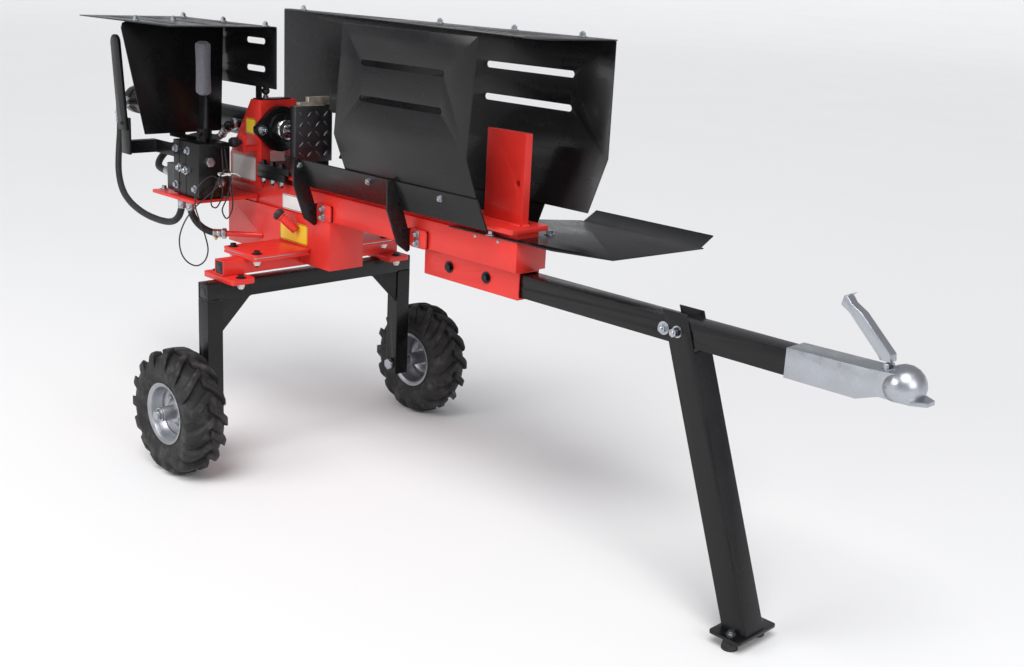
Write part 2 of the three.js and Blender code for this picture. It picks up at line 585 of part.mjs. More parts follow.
function makeCradle() {
  const length = Math.hypot(SLOPE, 1);
  const inward = [-1 / length, SLOPE / length];
  const onSlope = (z, off = 0) =>
    [CRADLE_Y + SLOPE * (z - CRADLE_Z) + inward[0] * off, z + inward[1] * off];
  const walls = { near: [338, 822, 284, 784], far: [-360, 942, -10, 942] };
  const inside = BEAM_W / 2 + GAP;
  for (const [label, side] of SIDES) {
    const sheet = mirrored(folded([onSlope(CRADLE_TOP), onSlope(CRADLE_Z)], CRADLE_T), side);
    const plate = slab("x", sheet, CRADLE_REAR, CRADLE_FRONT);
    // support arm in section: it hangs beside the tank, from the bracket up to the cradle plate
    const arm = [[inside, 673], [58, 673], [58, 660], [66, 656], [98, 678], [134, 770],
      [134, CRADLE_TOP - 2], [120, CRADLE_TOP - 2], onSlope(CRADLE_Z + 2, -2), [66, 716], [inside, 716]];
    const arms = ARMS_X.flatMap((x) => [
      slab("x", mirrored(arm, side), x, x + 6),
      block(x, x + 66, ...span(side, inside, 55), 673, 716),
    ]);
    add(`log_cradle_${label}`, joined(plate, ...arms), BLACK);

    const low = onSlope(812, GAP);
    const fold = [GUARD_Y, CRADLE_Z + (GUARD_Y - CRADLE_Y) / SLOPE];
    const [w0, w1, s0, s1] = walls[label];
    const section = mirrored(folded([low, fold, [GUARD_Y, GUARD_TOP]], SHEET), side);
    let guard = slab("x", section, Math.min(w0, s0), Math.max(w1, s1));
    const [ya, yb] = span(side, 90, 180);
    // slanted ends of the near guard, square ends of the far one
    const endCut = (x, dir, lean) => slab("y", [[700, x + dir * 200], [700, x - lean],
      [GUARD_TOP + 20, x + lean * 0.6], [GUARD_TOP + 20, x + dir * 200]], ya, yb);
    if (label === "near") guard = cut(guard, endCut(w0 - 14, -1, 38), endCut(w1 - 14, 1, 26));
    else guard = cut(guard, block(-400, -10, 60, GUARD_Y - 4, 700, FOLD_Z - 1));
    const slots = label === "near" ? [[560, 1125], [556, 1040]] : [[662, 1127], [660, 1047]];
    const openings = slots.map(([x, z]) => {
      const s = new THREE.Shape(slotHole(z, x, 300, 16).getPoints(4));
      return slab("y", turnedOutline(s), ya, yb);
    });
    add(`log_guard_${label}`, cut(guard, ...openings), BLACK);
  }
}

// Swaps the two axes of a slot drawn along its first axis, keeping it closed.
function turnedOutline(shape) {
  const pts = shape.getPoints();
  const c = pts.reduce((a, p) => a.add(p), new THREE.Vector2()).divideScalar(pts.length);
  return pts.map((p) => [c.x + (p.y - c.y), c.y + (p.x - c.x)]);
}

function makeRoofs() {
  const z = GUARD_TOP + GAP;
  const roof = [[-330, 140], [876, -78], [936, -60], [942, 165], [-330, 165]];
  // three pairs of slots that follow the roof's slanted edge
  const holes = [120, 420, 700].flatMap((x) => {
    const y = 162 - (x - roof[0][0]) * 0.16;
    return [y, y + 45].map((v) => slotHole(x, v, 220, 12));
  });
  add("log_guard_roof", slab("z", roof, z, z + SHEET, holes), BLACK);

  const lz = LEVER_ROOF_Z;
  const vents = [-470, -230].flatMap((x) => [-310, -212, -114].map((y) => slotHole(x, y, 110, 14)));
  const [x0, x1, y0, y1] = [LEVER_ROOF_REAR, LEVER_ROOF_FRONT, LEVER_ROOF_NEAR, LEVER_ROOF_FAR];
  add("lever_guard_roof", slab("z", [[x0, y0], [x1, y0], [x1, y1], [x0, y1]], lz, lz + SHEET, vents), BLACK);
  const sideTop = lz - GAP;
  const panel = block(x0, x1, y1 - SHEET, y1, 1000, sideTop);
  const openings = [-450, -200].flatMap((x) => [1052, 1128].map((v) => {
    const s = new THREE.Shape(slotHole(v, x, 90, 16).getPoints(4));
    return slab("y", turnedOutline(s), y1 - 10, y1 + 5);
  }));
  const footLow = MOUNT_HIGH + GAP;
  const stand = block(-200, -172, y1 - SHEET, y1, footLow + 1, 1005);
  const foot = block(-200, -168, -58, y1, footLow, footLow + SHEET);
  add("lever_guard_side", joined(cut(panel, ...openings), stand, foot), BLACK);

  const px = CROSS_PANEL_X;
  const corner = y0 + 1;
  const outline = [[-62, 858], [-52, sideTop], [corner + 16, sideTop], [corner + 4, sideTop - 5],
    [corner, sideTop - 18], [-308, 858]];
  const cross = slab("x", outline, px, px + SHEET);
  const tab = block(px, VALVE_REAR + 28, -230, -180, VALVE_TOP + GAP, VALVE_TOP + SHEET + GAP);
  const tabRoot = block(px, px + SHEET, -230, -180, VALVE_TOP + GAP, 870);
  add("lever_guard_front", joined(cross, tab, tabRoot), BLACK);
}

// ---- valve, levers ---------------------------------------------------------------------------
const PORT_FEET = [-350, -306];
const INLET_REAR = -368; // low section behind the valve block, with the hose ports

function makeValve() {
  const y0 = VALVE_Y - 50;
  const y1 = VALVE_Y + 50;
  const plateTop = 694;
  const plate = slab("z", roundedRect(-404, -180, -266, -50.3, 8), 686, plateTop);
  const leg = block(-330, -190, -54, -50.3, 674, 692);
  const portHoles = PORT_FEET.map((x) => bar("z", 14, x, VALVE_Y, 680, 700, 16));
  add("valve_bracket", cut(joined(plate, leg), ...portHoles), RED);

  const body = block(VALVE_REAR, VALVE_FRONT, y0, y1, VALVE_BOTTOM, VALVE_TOP);
  const foot = block(VALVE_REAR + 20, VALVE_FRONT - 20, y0 + 10, y1 - 10, plateTop + GAP, VALVE_BOTTOM + 1);
  const lugs = [-212, -195].map((y) => block(LEVER_X - 20, LEVER_X + 20, y, y + 7, VALVE_TOP - 1, 886));
  const inlet = block(INLET_REAR, VALVE_REAR + 1, y0 + 15, y1 - 15, VALVE_BOTTOM, 775);
  const portRear = bar("x", 13, -215, 745, INLET_REAR - 14, INLET_REAR + 1, 12);
  const portFoot = PORT_FEET.map((x) => bar("z", 12, x, VALVE_Y, plateTop - 26, VALVE_BOTTOM + 1, 12));
  const pinHole = bar("y", 5.3, LEVER_PIVOT_Z, LEVER_X, -230, -180, 12);
  const spoolBore = bar("x", 9.3, VALVE_Y, 820, VALVE_REAR - 1, VALVE_FRONT - 30, 16);
  const clip = block(VALVE_FRONT - 1, VALVE_FRONT + 20, -190, -168, 838, 842);
  const casting = joined(body, foot, ...lugs, inlet, portRear, ...portFoot, clip);
  add("valve_body", cut(casting, pinHole, spoolBore), BLACK);
  add("valve_spool", bar("x", 9, VALVE_Y, 820, VALVE_REAR - 34, VALVE_FRONT - 45, 16), CHROME);

  const lever = block(LEVER_X - 19, LEVER_X + 19, -204.5, -196.5, LEVER_PIVOT_Z - 15, 976);
  const tang = block(LEVER_X - 12, LEVER_X + 12, -204.5, -196.5, 975, 1090);
  const pin = bar("y", 5, LEVER_PIVOT_Z, LEVER_X, -220, -182, 12);
  add("control_lever", joined(lever, tang, pin), BLACK);
  const grip = cut(slab("z", roundedRect(LEVER_X - 24, LEVER_X + 24, -217, -184, 14), 977, 1122),
    block(LEVER_X - 12.3, LEVER_X + 12.3, -204.8, -196.2, 970, 1090.3));
  add("control_lever_grip", grip, FOAM);

  const sx = SECOND_LEVER_X;
  const sy = SECOND_LEVER_Y;
  const arm = joined(
    block(sx - 22, VALVE_REAR - GAP, -249, -242, 800, 836),
    block(sx - 22, sx + 2, sy + 9, -242, 800, 836),
    block(sx - 22, sx + 22, sy + 9, sy + 16, 800, 902));
  add("second_lever_bracket", cut(arm, bar("y", 5.3, 886, sx, sy - 10, sy + 30, 12)), BLACK);
  const second = new THREE.Shape();
  const lean = -30;
  second.moveTo(868, sx - 22);
  second.lineTo(868, sx + 22);
  second.lineTo(1104, sx + 22 + lean);
  second.absarc(1104, sx + lean, 22, Math.PI / 2, -Math.PI / 2, true);
  const secondPin = bar("y", 5, 886, sx, sy - 5, sy + 20, 12);
  add("second_lever", joined(slab("y", second, sy, sy + 8.7), secondPin), BLACK);

  const head = bar("y", 14, KNOB_Z, KNOB_X, -140, -112, 12);
  const knob = joined(head, bar("y", 6, KNOB_Z, KNOB_X, -113, -104 - GAP, 12));
  add("stop_knob", knob, PLASTIC);
}

// ---- parking leg -----------------------------------------------------------------------------
const PAD_HEIGHT = 25.7; // rubber foot pads under the leg's foot plate

function makeLeg() {
  const z = DRAWBAR_Z;
  const lean = (body) => {
    const turn = new THREE.Matrix4().makeRotationY(-LEG_LEAN).setPosition(LEG_X, 0, z);
    return body.transform(turn.elements);
  };
  const half = DRAWBAR_SIZE / 2;
  const outer = block(-28, half + 6, -half - 3.5, half + 3.5, -690, 60);
  const inner = block(-29, half + 3, -half - 0.5, half + 0.5, -700, 70);
  const channel = lean(cut(outer, inner));
  const above = block(LEG_X - 200, LEG_X + 300, -60, 60, z + half + 14, 800);
  const web = block(LEG_X - 20, LEG_X + 200, -half - 0.4, half + 0.4, z - half - 8, 800);
  const below = block(LEG_X, LEG_X + 500, -60, 60, -100, 32);
  const bolt = bar("y", 6, z, LEG_X, -half - 5, half + 5, 16);
  const heads = SIDES.map(([, side]) => hexagon("y", 18, z, LEG_X, ...span(side, half + 3, half + 12)));
  const drawbarPin = joined(bolt, ...heads);
  const footX = LEG_X + Math.tan(LEG_LEAN) * (z - 30);
  const footPlate = slab("z", roundedRect(footX - 38, footX + 42, -68, 68, 8), 26, 32.5);
  add("parking_leg", joined(cut(channel, above, web, below), drawbarPin, footPlate), BLACK);
  for (const [label, side] of SIDES) {
    const pad = new THREE.CylinderGeometry(15, 18, PAD_HEIGHT, 16).rotateX(Math.PI / 2);
    pad.translate(footX + 6, side * 48, PAD_HEIGHT / 2);
    add(`leg_foot_${label}`, solid(pad), RUBBER);
  }
}

// ---- filler cap, hoses and cable -------------------------------------------------------------
// The cap sits on the end of the filler neck, a little clear of it.
function makeFillerCap() {
  const [a, b] = FILLER.map((p) => new THREE.Vector3(...p));
  const axis = b.clone().sub(a).normalize();
  const from = b.clone().addScaledVector(axis, GAP + 1);
  const to = b.clone().addScaledVector(axis, 19);
  add("filler_cap", rod(from.toArray(), to.toArray(), 16, 20), PLASTIC);
}

const HOSE_R = 10;
// Each hose runs from fitting to fitting. The ends stop just short of the fittings' faces.
const HOSES = {
  hose_rear_port: { steps: 20, points: [[-905, -90, 845], [-905, -90, 825], [-904, -92, 790],
    [-900, -98, 752], [-888, -108, 712], [-866, -121, 676], [-832, -135, 645], [-785, -150, 620],
    [-725, -164, 602], [-655, -177, 591], [-580, -187, 584], [-510, -194, 583], [-462, -198, 585],
    [-425, -199.5, 589], [-392, -200, 599], [-368, -200, 617], [-353, -200, 643],
    [-350, -200, 659], [-350, -200, 667.7]] },
  hose_front_port: { steps: 15, points: [[-302, -84, 868], [-309, -84, 861], [-325.6, -84, 848.3],
    [-345, -84, 840.3], [-365.6, -83, 837.6], [-395, -79.5, 836.5], [-425, -77, 835], [-466, -86, 829],
    [-496, -111.5, 812.5], [-507.4, -146, 790], [-496, -180.5, 767.5], [-466, -206, 751],
    [-425, -215, 745], [-382.3, -215, 745]] },
  hose_return: { steps: 7, points: [[-306, -200, 667.7], [-306, -200, 658], [-302.6, -196.6, 632.6],
    [-292.8, -186.8, 608.6], [-277.7, -171.7, 590.7], [-259.3, -153.3, 581.2], [-249.4, -143.4, 580],
    [-242, -136, 580]] },
};

// The control cable hangs in loops below a clip on the valve block, and goes back into the clip.
const CABLE_R = 2;
const CABLE = [
  [-164, -184, 837.3], [-163.5, -184, 826], [-160, -184, 800], [-158, -185, 768], [-157, -199, 737],
  [-156, -235, 710], [-156, -275, 682], [-156, -308, 645], [-156, -325, 600], [-156, -318, 555],
  [-156, -296, 528], [-156, -270, 518], [-156, -247, 529], [-155, -237, 556], [-153, -247, 602],
  [-150, -267, 650], [-149, -279, 692], [-149, -273, 730], [-149, -250, 756], [-150, -222, 765],
  [-150, -200, 750], [-149, -192, 722], [-149, -199, 694], [-147, -215, 677], [-145, -230, 685],
  [-143, -230, 710], [-143, -216, 742], [-143, -200, 768], [-143, -185, 782], [-144, -171, 774],
  [-145, -168, 745], [-146, -182, 698], [-147, -195, 668], [-148, -180, 643], [-150, -162, 664],
  [-152, -158, 700], [-155, -163, 745], [-160, -171, 795], [-163.5, -174, 826], [-164, -174, 837.3]];

function makeHoses() {
  for (const [name, { steps, points }] of Object.entries(HOSES)) {
    add(name, swept(points, HOSE_R, 10, steps), RUBBER);
  }
  add("control_cable", swept(CABLE, CABLE_R, 8, 70), PLASTIC);
}

makeWheels();
makeAxle();
makeChassis();
makeTowing();
makeCylinder();
makePusher();
makeWedge();
makeCradle();
makeRoofs();
makeValve();
makeLeg();
makeFillerCap();
makeHoses();

export default group;
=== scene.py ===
"""Looks of a horizontal hydraulic log splitter on a two-wheel trailer, built around its CAD frame."""
import json
from math import copysign, cos, hypot, pi, radians, sin, sqrt

import bmesh
import bpy
from mathutils import Matrix, Vector


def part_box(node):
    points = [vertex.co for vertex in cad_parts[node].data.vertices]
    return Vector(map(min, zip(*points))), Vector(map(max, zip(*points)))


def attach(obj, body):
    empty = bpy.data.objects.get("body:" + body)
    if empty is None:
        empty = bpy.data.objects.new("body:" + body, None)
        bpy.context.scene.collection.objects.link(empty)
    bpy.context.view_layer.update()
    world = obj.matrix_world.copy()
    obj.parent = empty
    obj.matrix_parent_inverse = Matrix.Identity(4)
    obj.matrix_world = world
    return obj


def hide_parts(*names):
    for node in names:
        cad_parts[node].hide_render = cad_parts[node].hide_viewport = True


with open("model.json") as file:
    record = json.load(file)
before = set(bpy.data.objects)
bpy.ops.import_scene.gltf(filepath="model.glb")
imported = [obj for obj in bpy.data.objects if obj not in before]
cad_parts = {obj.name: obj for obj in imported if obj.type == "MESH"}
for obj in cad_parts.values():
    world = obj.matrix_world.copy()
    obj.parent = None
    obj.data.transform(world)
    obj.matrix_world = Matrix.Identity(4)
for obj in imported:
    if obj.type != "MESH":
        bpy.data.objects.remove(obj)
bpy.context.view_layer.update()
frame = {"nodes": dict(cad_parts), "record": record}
SCENE = bpy.context.scene
NODES = frame["nodes"]
BOTH = (-1, 1)  # the near side, where the operator stands, is -Y
SIDES = (("near", -1), ("far", 1))
UP = Vector((0, 0, 1))
TO_NEAR = Vector((0, -1, 0))
MM = 0.001


# ---- node materials ----
class Finish:
    """A node material under construction: a Principled shader and short calls that wire textures to it."""

    def __init__(self, name, color, roughness, metallic=0.0, specular=0.5, coat=0.0, coat_roughness=0.1):
        self.material = bpy.data.materials.new(name)
        self.material.use_nodes = True
        self.tree = self.material.node_tree
        self.shader = self.tree.nodes["Principled BSDF"]
        self.fill(self.shader, {
            "Base Color": (*color, 1), "Roughness": roughness, "Metallic": metallic,
            "Specular IOR Level": specular, "Coat Weight": coat, "Coat Roughness": coat_roughness})
        self.coords = self.node("TexCoord").outputs["Object"]
        self.normal = None

    def fill(self, node, inputs):
        """Sets inputs of a node to plain values, or links them to the output sockets given."""
        for key, value in inputs.items():
            if isinstance(value, bpy.types.NodeSocket):
                self.tree.links.new(value, node.inputs[key])
            else:
                node.inputs[key].default_value = value
        return node

    def node(self, kind, inputs=None, **settings):
        made = self.tree.nodes.new("ShaderNode" + kind)
        for key, value in settings.items():
            setattr(made, key, value)
        return self.fill(made, inputs or {})

    def stretched(self, scale):
        return self.node("Mapping", {"Scale": scale, "Vector": self.coords}).outputs["Vector"]

    def noise(self, scale, detail=4.0, rough=0.55, coords=None):
        inputs = {"Scale": scale, "Detail": detail, "Roughness": rough, "Vector": coords or self.coords}
        return self.node("TexNoise", inputs).outputs["Fac"]

    def cells(self, scale):
        return self.node("TexVoronoi", {"Scale": scale, "Vector": self.coords}).outputs["Distance"]

    def span(self, value, low, high, to_low=0.0, to_high=1.0):
        inputs = {"From Min": low, "From Max": high, "To Min": to_low, "To Max": to_high, "Value": value}
        return self.node("MapRange", inputs).outputs["Result"]

    def calc(self, operation, *values):
        return self.node("Math", dict(enumerate(values)), operation=operation).outputs[0]

    def mix(self, mask, first, second):
        colors = [(*value, 1) if isinstance(value, tuple) else value for value in (first, second)]
        inputs = {"Factor": mask, "A": colors[0], "B": colors[1]}
        return self.node("Mix", inputs, data_type="RGBA").outputs["Result"]

    def paint(self, source):
        self.fill(self.shader, {"Base Color": source})

    def gloss(self, source):
        self.fill(self.shader, {"Roughness": source})

    def bump(self, height, strength, depth):
        inputs = {"Strength": strength, "Distance": depth, "Height": height}
        if self.normal:
            inputs["Normal"] = self.normal
        self.normal = self.node("Bump", inputs).outputs["Normal"]
        self.fill(self.shader, {"Normal": self.normal})


def shade(color, factor):
    return tuple(min(1.0, c * factor) for c in color)


def powder_coat(name, color, roughness, specular, dust, coat):
    """Glossy powder coat: orange peel, slow changes of tone, faint dust and fine handling scratches."""
    made = Finish(name, color, roughness, specular=specular, coat=coat, coat_roughness=0.08)
    tone = made.span(made.noise(7.0), 0.3, 0.7)
    base = made.mix(tone, shade(color, 0.86), shade(color, 1.12))
    scratch = made.span(made.noise(1.0, 6, 0.7, made.stretched((260, 34, 60))), 0.685, 0.72)
    specks = made.span(made.noise(160.0, 3), 0.64, 0.76)
    amount = made.span(made.calc("MAXIMUM", scratch, specks), 0, 1, 0, 0.12)
    made.paint(made.mix(amount, base, dust))
    made.gloss(made.span(made.noise(11.0, 5), 0.25, 0.75, roughness * 0.75, roughness * 1.35))
    made.bump(made.noise(520.0, 2), 0.08, 0.0005)
    return made.material


def plated(name, color, roughness, spangle, grain):
    """Zinc or nickel plate on steel: faint spangle, tint changes and a fine drawn grain."""
    made = Finish(name, color, roughness, metallic=1.0)
    flake = made.span(made.cells(spangle), 0.0, 0.9)
    cold = (color[0] * 1.04, color[1] * 1.05, color[2] * 1.12)
    tint = made.mix(made.noise(14.0, 5), shade(color, 0.82), cold)
    made.paint(made.mix(made.span(flake, 0, 1, 0, 0.25), tint, shade(color, 1.18)))
    made.gloss(made.span(made.noise(40.0, 6), 0.3, 0.7, roughness * 0.7, roughness * 1.35))
    made.bump(made.noise(1.0, 4, 0.6, made.stretched(grain)), 0.08, 0.0004)
    made.bump(made.noise(90.0, 3), 0.12, 0.0008)
    return made.material


def polished_chrome():
    made = Finish("hard_chrome", (0.78, 0.79, 0.81), 0.1, metallic=1.0)
    made.gloss(made.span(made.noise(1.0, 5, 0.6, made.stretched((900, 30, 30))), 0.3, 0.7, 0.06, 0.2))
    made.paint(made.mix(made.noise(25.0), (0.7, 0.71, 0.73), (0.84, 0.85, 0.87)))
    return made.material


def bare_steel():
    """Machined steel with a light film of oil and grinding marks."""
    made = Finish("bare_steel", (0.52, 0.47, 0.4), 0.42, metallic=0.85)
    made.paint(made.mix(made.span(made.noise(30.0, 6), 0.35, 0.65), (0.42, 0.37, 0.3), (0.62, 0.57, 0.5)))
    made.gloss(made.span(made.noise(60.0, 5), 0.3, 0.7, 0.3, 0.6))
    made.bump(made.noise(1.0, 3, 0.5, made.stretched((60, 900, 60))), 0.15, 0.0004)
    return made.material


def moulded_rubber(name, color, roughness, dusty):
    """Rubber with a fine moulded skin and dry dust in its hollows."""
    made = Finish(name, color, roughness, specular=0.35)
    dust = made.span(made.noise(26.0, 8, 0.65), 0.5, 0.72, 0, dusty)
    base = made.mix(made.span(made.noise(9.0), 0.3, 0.7), shade(color, 0.75), shade(color, 1.3))
    made.paint(made.mix(dust, base, (0.12, 0.11, 0.1)))
    made.gloss(made.span(made.noise(70.0, 4), 0.3, 0.7, roughness * 0.85, min(1.0, roughness * 1.15)))
    made.bump(made.noise(900.0, 3), 0.25, 0.0005)
    made.bump(made.noise(120.0, 4), 0.15, 0.0012)
    return made.material


def moulded_plastic(name, color, roughness):
    made = Finish(name, color, roughness, specular=0.4)
    made.paint(made.mix(made.noise(30.0, 5), shade(color, 0.8), shade(color, 1.25)))
    made.gloss(made.span(made.noise(90.0, 3), 0.3, 0.7, roughness * 0.85, roughness * 1.15))
    made.bump(made.noise(1400.0, 2), 0.2, 0.0003)
    return made.material


def foam():
    """Closed-cell foam grip: small open pores painted darker as shade with lighter rims between them, and a
    soft, dry skin.
    """
    color = (0.105, 0.105, 0.12)
    made = Finish("grip_foam", color, 0.85, specular=0.2)
    made.fill(made.shader, {"Sheen Weight": 0.15})
    pore_depth_and_shade = made.cells(420.0)
    # painted shade: the pores are coloured darker and the rims between them lighter, from the same field that
    # sets their depth
    made.paint(made.mix(made.span(pore_depth_and_shade, 0.1, 0.6), shade(color, 0.5), shade(color, 1.5)))
    made.bump(pore_depth_and_shade, 0.5, 0.0008)
    made.bump(made.noise(60.0), 0.2, 0.001)
    return made.material


def sleeved_hose(name, color, pitch):
    """Hose cover with a spiral sleeve: ridges across the length, drawn along the tube's own V coordinate, with
    painted shade in the grooves and a painted highlight on the ridge tops.
    """
    made = Finish(name, color, 0.6, specular=0.4)
    inputs = {"Scale": pi / 10 / pitch, "Distortion": 0.6, "Vector": made.node("TexCoord").outputs["UV"]}
    ridge_height_and_shade = made.node("TexWave", inputs, wave_type="BANDS", bands_direction="Y").outputs["Fac"]
    # painted shade and highlight: darker in the grooves and lighter on the ridge tops, from the same wave as
    # the bump
    made.paint(made.mix(made.span(ridge_height_and_shade, 0, 1), shade(color, 0.55), shade(color, 1.6)))
    made.gloss(made.span(made.noise(50.0), 0.3, 0.7, 0.5, 0.75))
    made.bump(ridge_height_and_shade, 0.6, 0.0012)
    made.bump(made.noise(700.0, 3), 0.2, 0.0004)
    return made.material


BORDER = 0.003  # how far a sticker's dark border reaches in from its edge, in metres


def sticker(name, color, low, high):
    """A plain upright label with a thin dark border and nothing printed on it."""
    made = Finish(name, color, 0.35, specular=0.5)
    split = made.node("SeparateXYZ", {"Vector": made.coords})
    bands = []
    for axis in "XZ":
        a, b = low["XYZ".index(axis)], high["XYZ".index(axis)]
        offset = made.calc("ABSOLUTE", made.calc("SUBTRACT", split.outputs[axis], (a + b) / 2))
        edge = (b - a) / 2
        inner = made.span(offset, edge - BORDER, edge - BORDER * 0.9)
        outer = made.span(offset, edge - BORDER * 0.45, edge - BORDER * 0.35, 1, 0)
        bands.append(made.calc("MULTIPLY", inner, outer))
    tone = made.mix(made.noise(50.0, 4), shade(color, 0.93), color)
    made.paint(made.mix(made.calc("MAXIMUM", *bands), tone, (0.03, 0.03, 0.03)))
    made.bump(made.noise(300.0), 0.05, 0.0003)
    return made.material


RED = powder_coat("red_powder_coat", (0.7, 0.03, 0.022), 0.33, 0.42, (0.5, 0.2, 0.16), 0.12)
BLACK = powder_coat("black_powder_coat", (0.0048, 0.0048, 0.0055), 0.27, 0.34, (0.05, 0.05, 0.05), 0.05)
ZINC = plated("zinc_plate", (0.46, 0.48, 0.5), 0.32, 140.0, (40, 40, 700))
RIM_ZINC = plated("rim_zinc", (0.42, 0.43, 0.44), 0.45, 60.0, (30, 500, 30))
CHROME = polished_chrome()
STEEL = bare_steel()
TYRE = moulded_rubber("tyre_rubber", (0.016, 0.016, 0.017), 0.62, 0.5)
RUBBER = moulded_rubber("foot_rubber", (0.02, 0.02, 0.02), 0.7, 0.35)
PLASTIC = moulded_plastic("black_plastic", (0.016, 0.016, 0.018), 0.42)
NYLON = moulded_plastic("white_nylon", (0.72, 0.72, 0.68), 0.45)
BLACK_OXIDE = plated("black_oxide", (0.045, 0.045, 0.05), 0.34, 200.0, (300, 300, 300))
# painted highlight: the lozenges of the tread plate are given a lighter grey than the plate to show the
# highlights they catch
TREAD_HIGHLIGHT = plated("tread_painted_highlight", (0.2, 0.2, 0.205), 0.34, 90.0, (60, 300, 300))
TREAD_PLATE = plated("tread_ground", (0.085, 0.087, 0.092), 0.46, 120.0, (60, 200, 200))
BRASS = plated("yellow_brass", (0.7, 0.5, 0.2), 0.28, 150.0, (60, 60, 500))
FOAM = foam()
HOSE = sleeved_hose("hose_sleeve", (0.017, 0.017, 0.018), 0.005)
CABLE = moulded_plastic("cable_sheath", (0.02, 0.02, 0.022), 0.45)
# for each material slot of the record: bevel and finish of its CAD nodes, then the other finishes it takes in
LOOKS = {
    "red_paint": (0.0016, RED), "black_paint": (0.0012, BLACK, BLACK_OXIDE, TREAD_HIGHLIGHT, TREAD_PLATE),
    "zinc_plate": (0.0012, ZINC, RIM_ZINC, STEEL, BRASS, NYLON), "chrome_plate": (0.0004, CHROME),
    "tyre_rubber": (0, TYRE), "foot_rubber": (0.001, RUBBER), "hose_rubber": (0, HOSE),
    "black_plastic": (0.001, PLASTIC, CABLE), "grip_foam": (0.002, FOAM),
}
SLOTS = {finish.name: slot for slot, (_, *finishes) in LOOKS.items() for finish in finishes}


# ---- mesh building ----
def smooth_by_angle():
    """A node group that shades faces smooth and keeps edges over 32 degrees sharp."""
    group = bpy.data.node_groups.new("smooth_by_angle", "GeometryNodeTree")
    group.interface.new_socket("Geometry", in_out="INPUT", socket_type="NodeSocketGeometry")
    group.interface.new_socket("Geometry", in_out="OUTPUT", socket_type="NodeSocketGeometry")
    nodes, links = group.nodes, group.links
    start = nodes.new("NodeGroupInput")
    end = nodes.new("NodeGroupOutput")
    faces = nodes.new("GeometryNodeSetShadeSmooth")
    edges = nodes.new("GeometryNodeSetShadeSmooth")
    edges.domain = "EDGE"
    angle = nodes.new("GeometryNodeInputMeshEdgeAngle")
    flat = nodes.new("FunctionNodeCompare")
    flat.data_type = "FLOAT"
    flat.operation = "LESS_THAN"
    flat.inputs["B"].default_value = radians(32)
    links.new(start.outputs[0], faces.inputs["Geometry"])
    links.new(faces.outputs["Geometry"], edges.inputs["Geometry"])
    links.new(angle.outputs["Unsigned Angle"], flat.inputs["A"])
    links.new(flat.outputs["Result"], edges.inputs["Shade Smooth"])
    links.new(edges.outputs["Geometry"], end.inputs[0])
    return group


SMOOTH = smooth_by_angle()


def soften(obj, bevel=0.0, weld=False):
    """Rounds the hard edges of obj and shades the rest smooth."""
    if weld:
        join = obj.modifiers.new("weld", "WELD")
        join.merge_threshold = 0.00001
    if bevel:
        edge = obj.modifiers.new("bevel", "BEVEL")
        edge.width = bevel
        edge.segments = 2
        edge.limit_method = "ANGLE"
        edge.angle_limit = radians(38)
        edge.use_clamp_overlap = True
    shading = obj.modifiers.new("smooth", "NODES")
    shading.node_group = SMOOTH
    return obj


def add(name, data):
    """Puts a new object that shows data into the scene."""
    obj = bpy.data.objects.new(name, data)
    SCENE.collection.objects.link(obj)
    return obj


def meshed(name, build, material):
    """Turns a bmesh into an object with one material."""
    mesh = bpy.data.meshes.new(name)
    bmesh.ops.recalc_face_normals(build, faces=build.faces)
    build.to_mesh(mesh)
    build.free()
    mesh.materials.append(material)
    return add(name, mesh)


def piece(name, build, material, body="chassis", slot=None, bevel=0.0, replaces=None):
    """Makes one piece from a bmesh: its finish, its edges and the body that it rides on."""
    obj = soften(meshed(name, build, material), bevel)
    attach(obj, body)
    slot = slot or SLOTS.get(material.name)
    if replaces:
        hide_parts(replaces)
    return obj


def angles(count):
    """The angles of count even steps round a full turn."""
    return [2 * pi * k / count for k in range(count)]


def facing(direction):
    return UP.rotation_difference(Vector(direction).normalized())


def rings(build, loops, wrap=False, cap_end=True):
    """Skins point loops of equal length into build, capped at both ends or wrapped round into a ring."""
    rows = [[build.verts.new(p) for p in loop] for loop in loops]
    if wrap:
        rows.append(rows[0])
    count = len(rows[0])
    for a, b in zip(rows, rows[1:]):
        for i in range(count):
            j = (i + 1) % count
            build.faces.new((a[i], a[j], b[j], b[i]))
    if not wrap:
        build.faces.new(rows[0][::-1])
        if cap_end:
            build.faces.new(rows[-1])


def turned(build, profile, centre, direction, segments=48, closed=False):
    """Turns a profile of (radius, along) pairs in mm about a line. A closed profile makes a hollow ring."""
    turn = facing(direction)
    centre = Vector(centre)
    rings(build, [[centre + turn @ Vector((r * cos(a), r * sin(a), along)) * MM for a in angles(segments)]
                  for r, along in profile], wrap=closed)


def sleeve(build, bore, radius, length, centre, direction, segments=32):
    """A plain washer or spacer, its sizes in mm."""
    turned(build, [(bore, 0), (radius, 0), (radius, length), (bore, length)], centre, direction, segments)


def mirrored(profile):
    """The same profile on the other side of the middle, in the opposite order."""
    return [(radius, -along) for radius, along in reversed(profile)]


DOME = 0.08  # rise in mm of the top of a bolt head inside its chamfer


def hexagon(build, centre, direction, flats, height):
    """A hexagon head or nut with the arc-shaped chamfer of its top edge, its sizes in mm."""
    turn = facing(direction)
    inner = flats / 2 * 0.96
    loops = [[], [], [], []]
    for a in angles(24):
        side = (a + pi / 6) % (pi / 3) - pi / 6
        outer = flats / 2 / cos(side)
        shoulder = height - 0.35 * (outer - inner)
        for loop, r, rise in zip(loops, (outer, outer, inner, inner / 2), (0, shoulder, height, height + DOME)):
            loop.append(Vector(centre) + turn @ Vector((r * cos(a), r * sin(a), rise)) * MM)
    rings(build, loops)


WASHER = 1.6  # washer thickness in mm


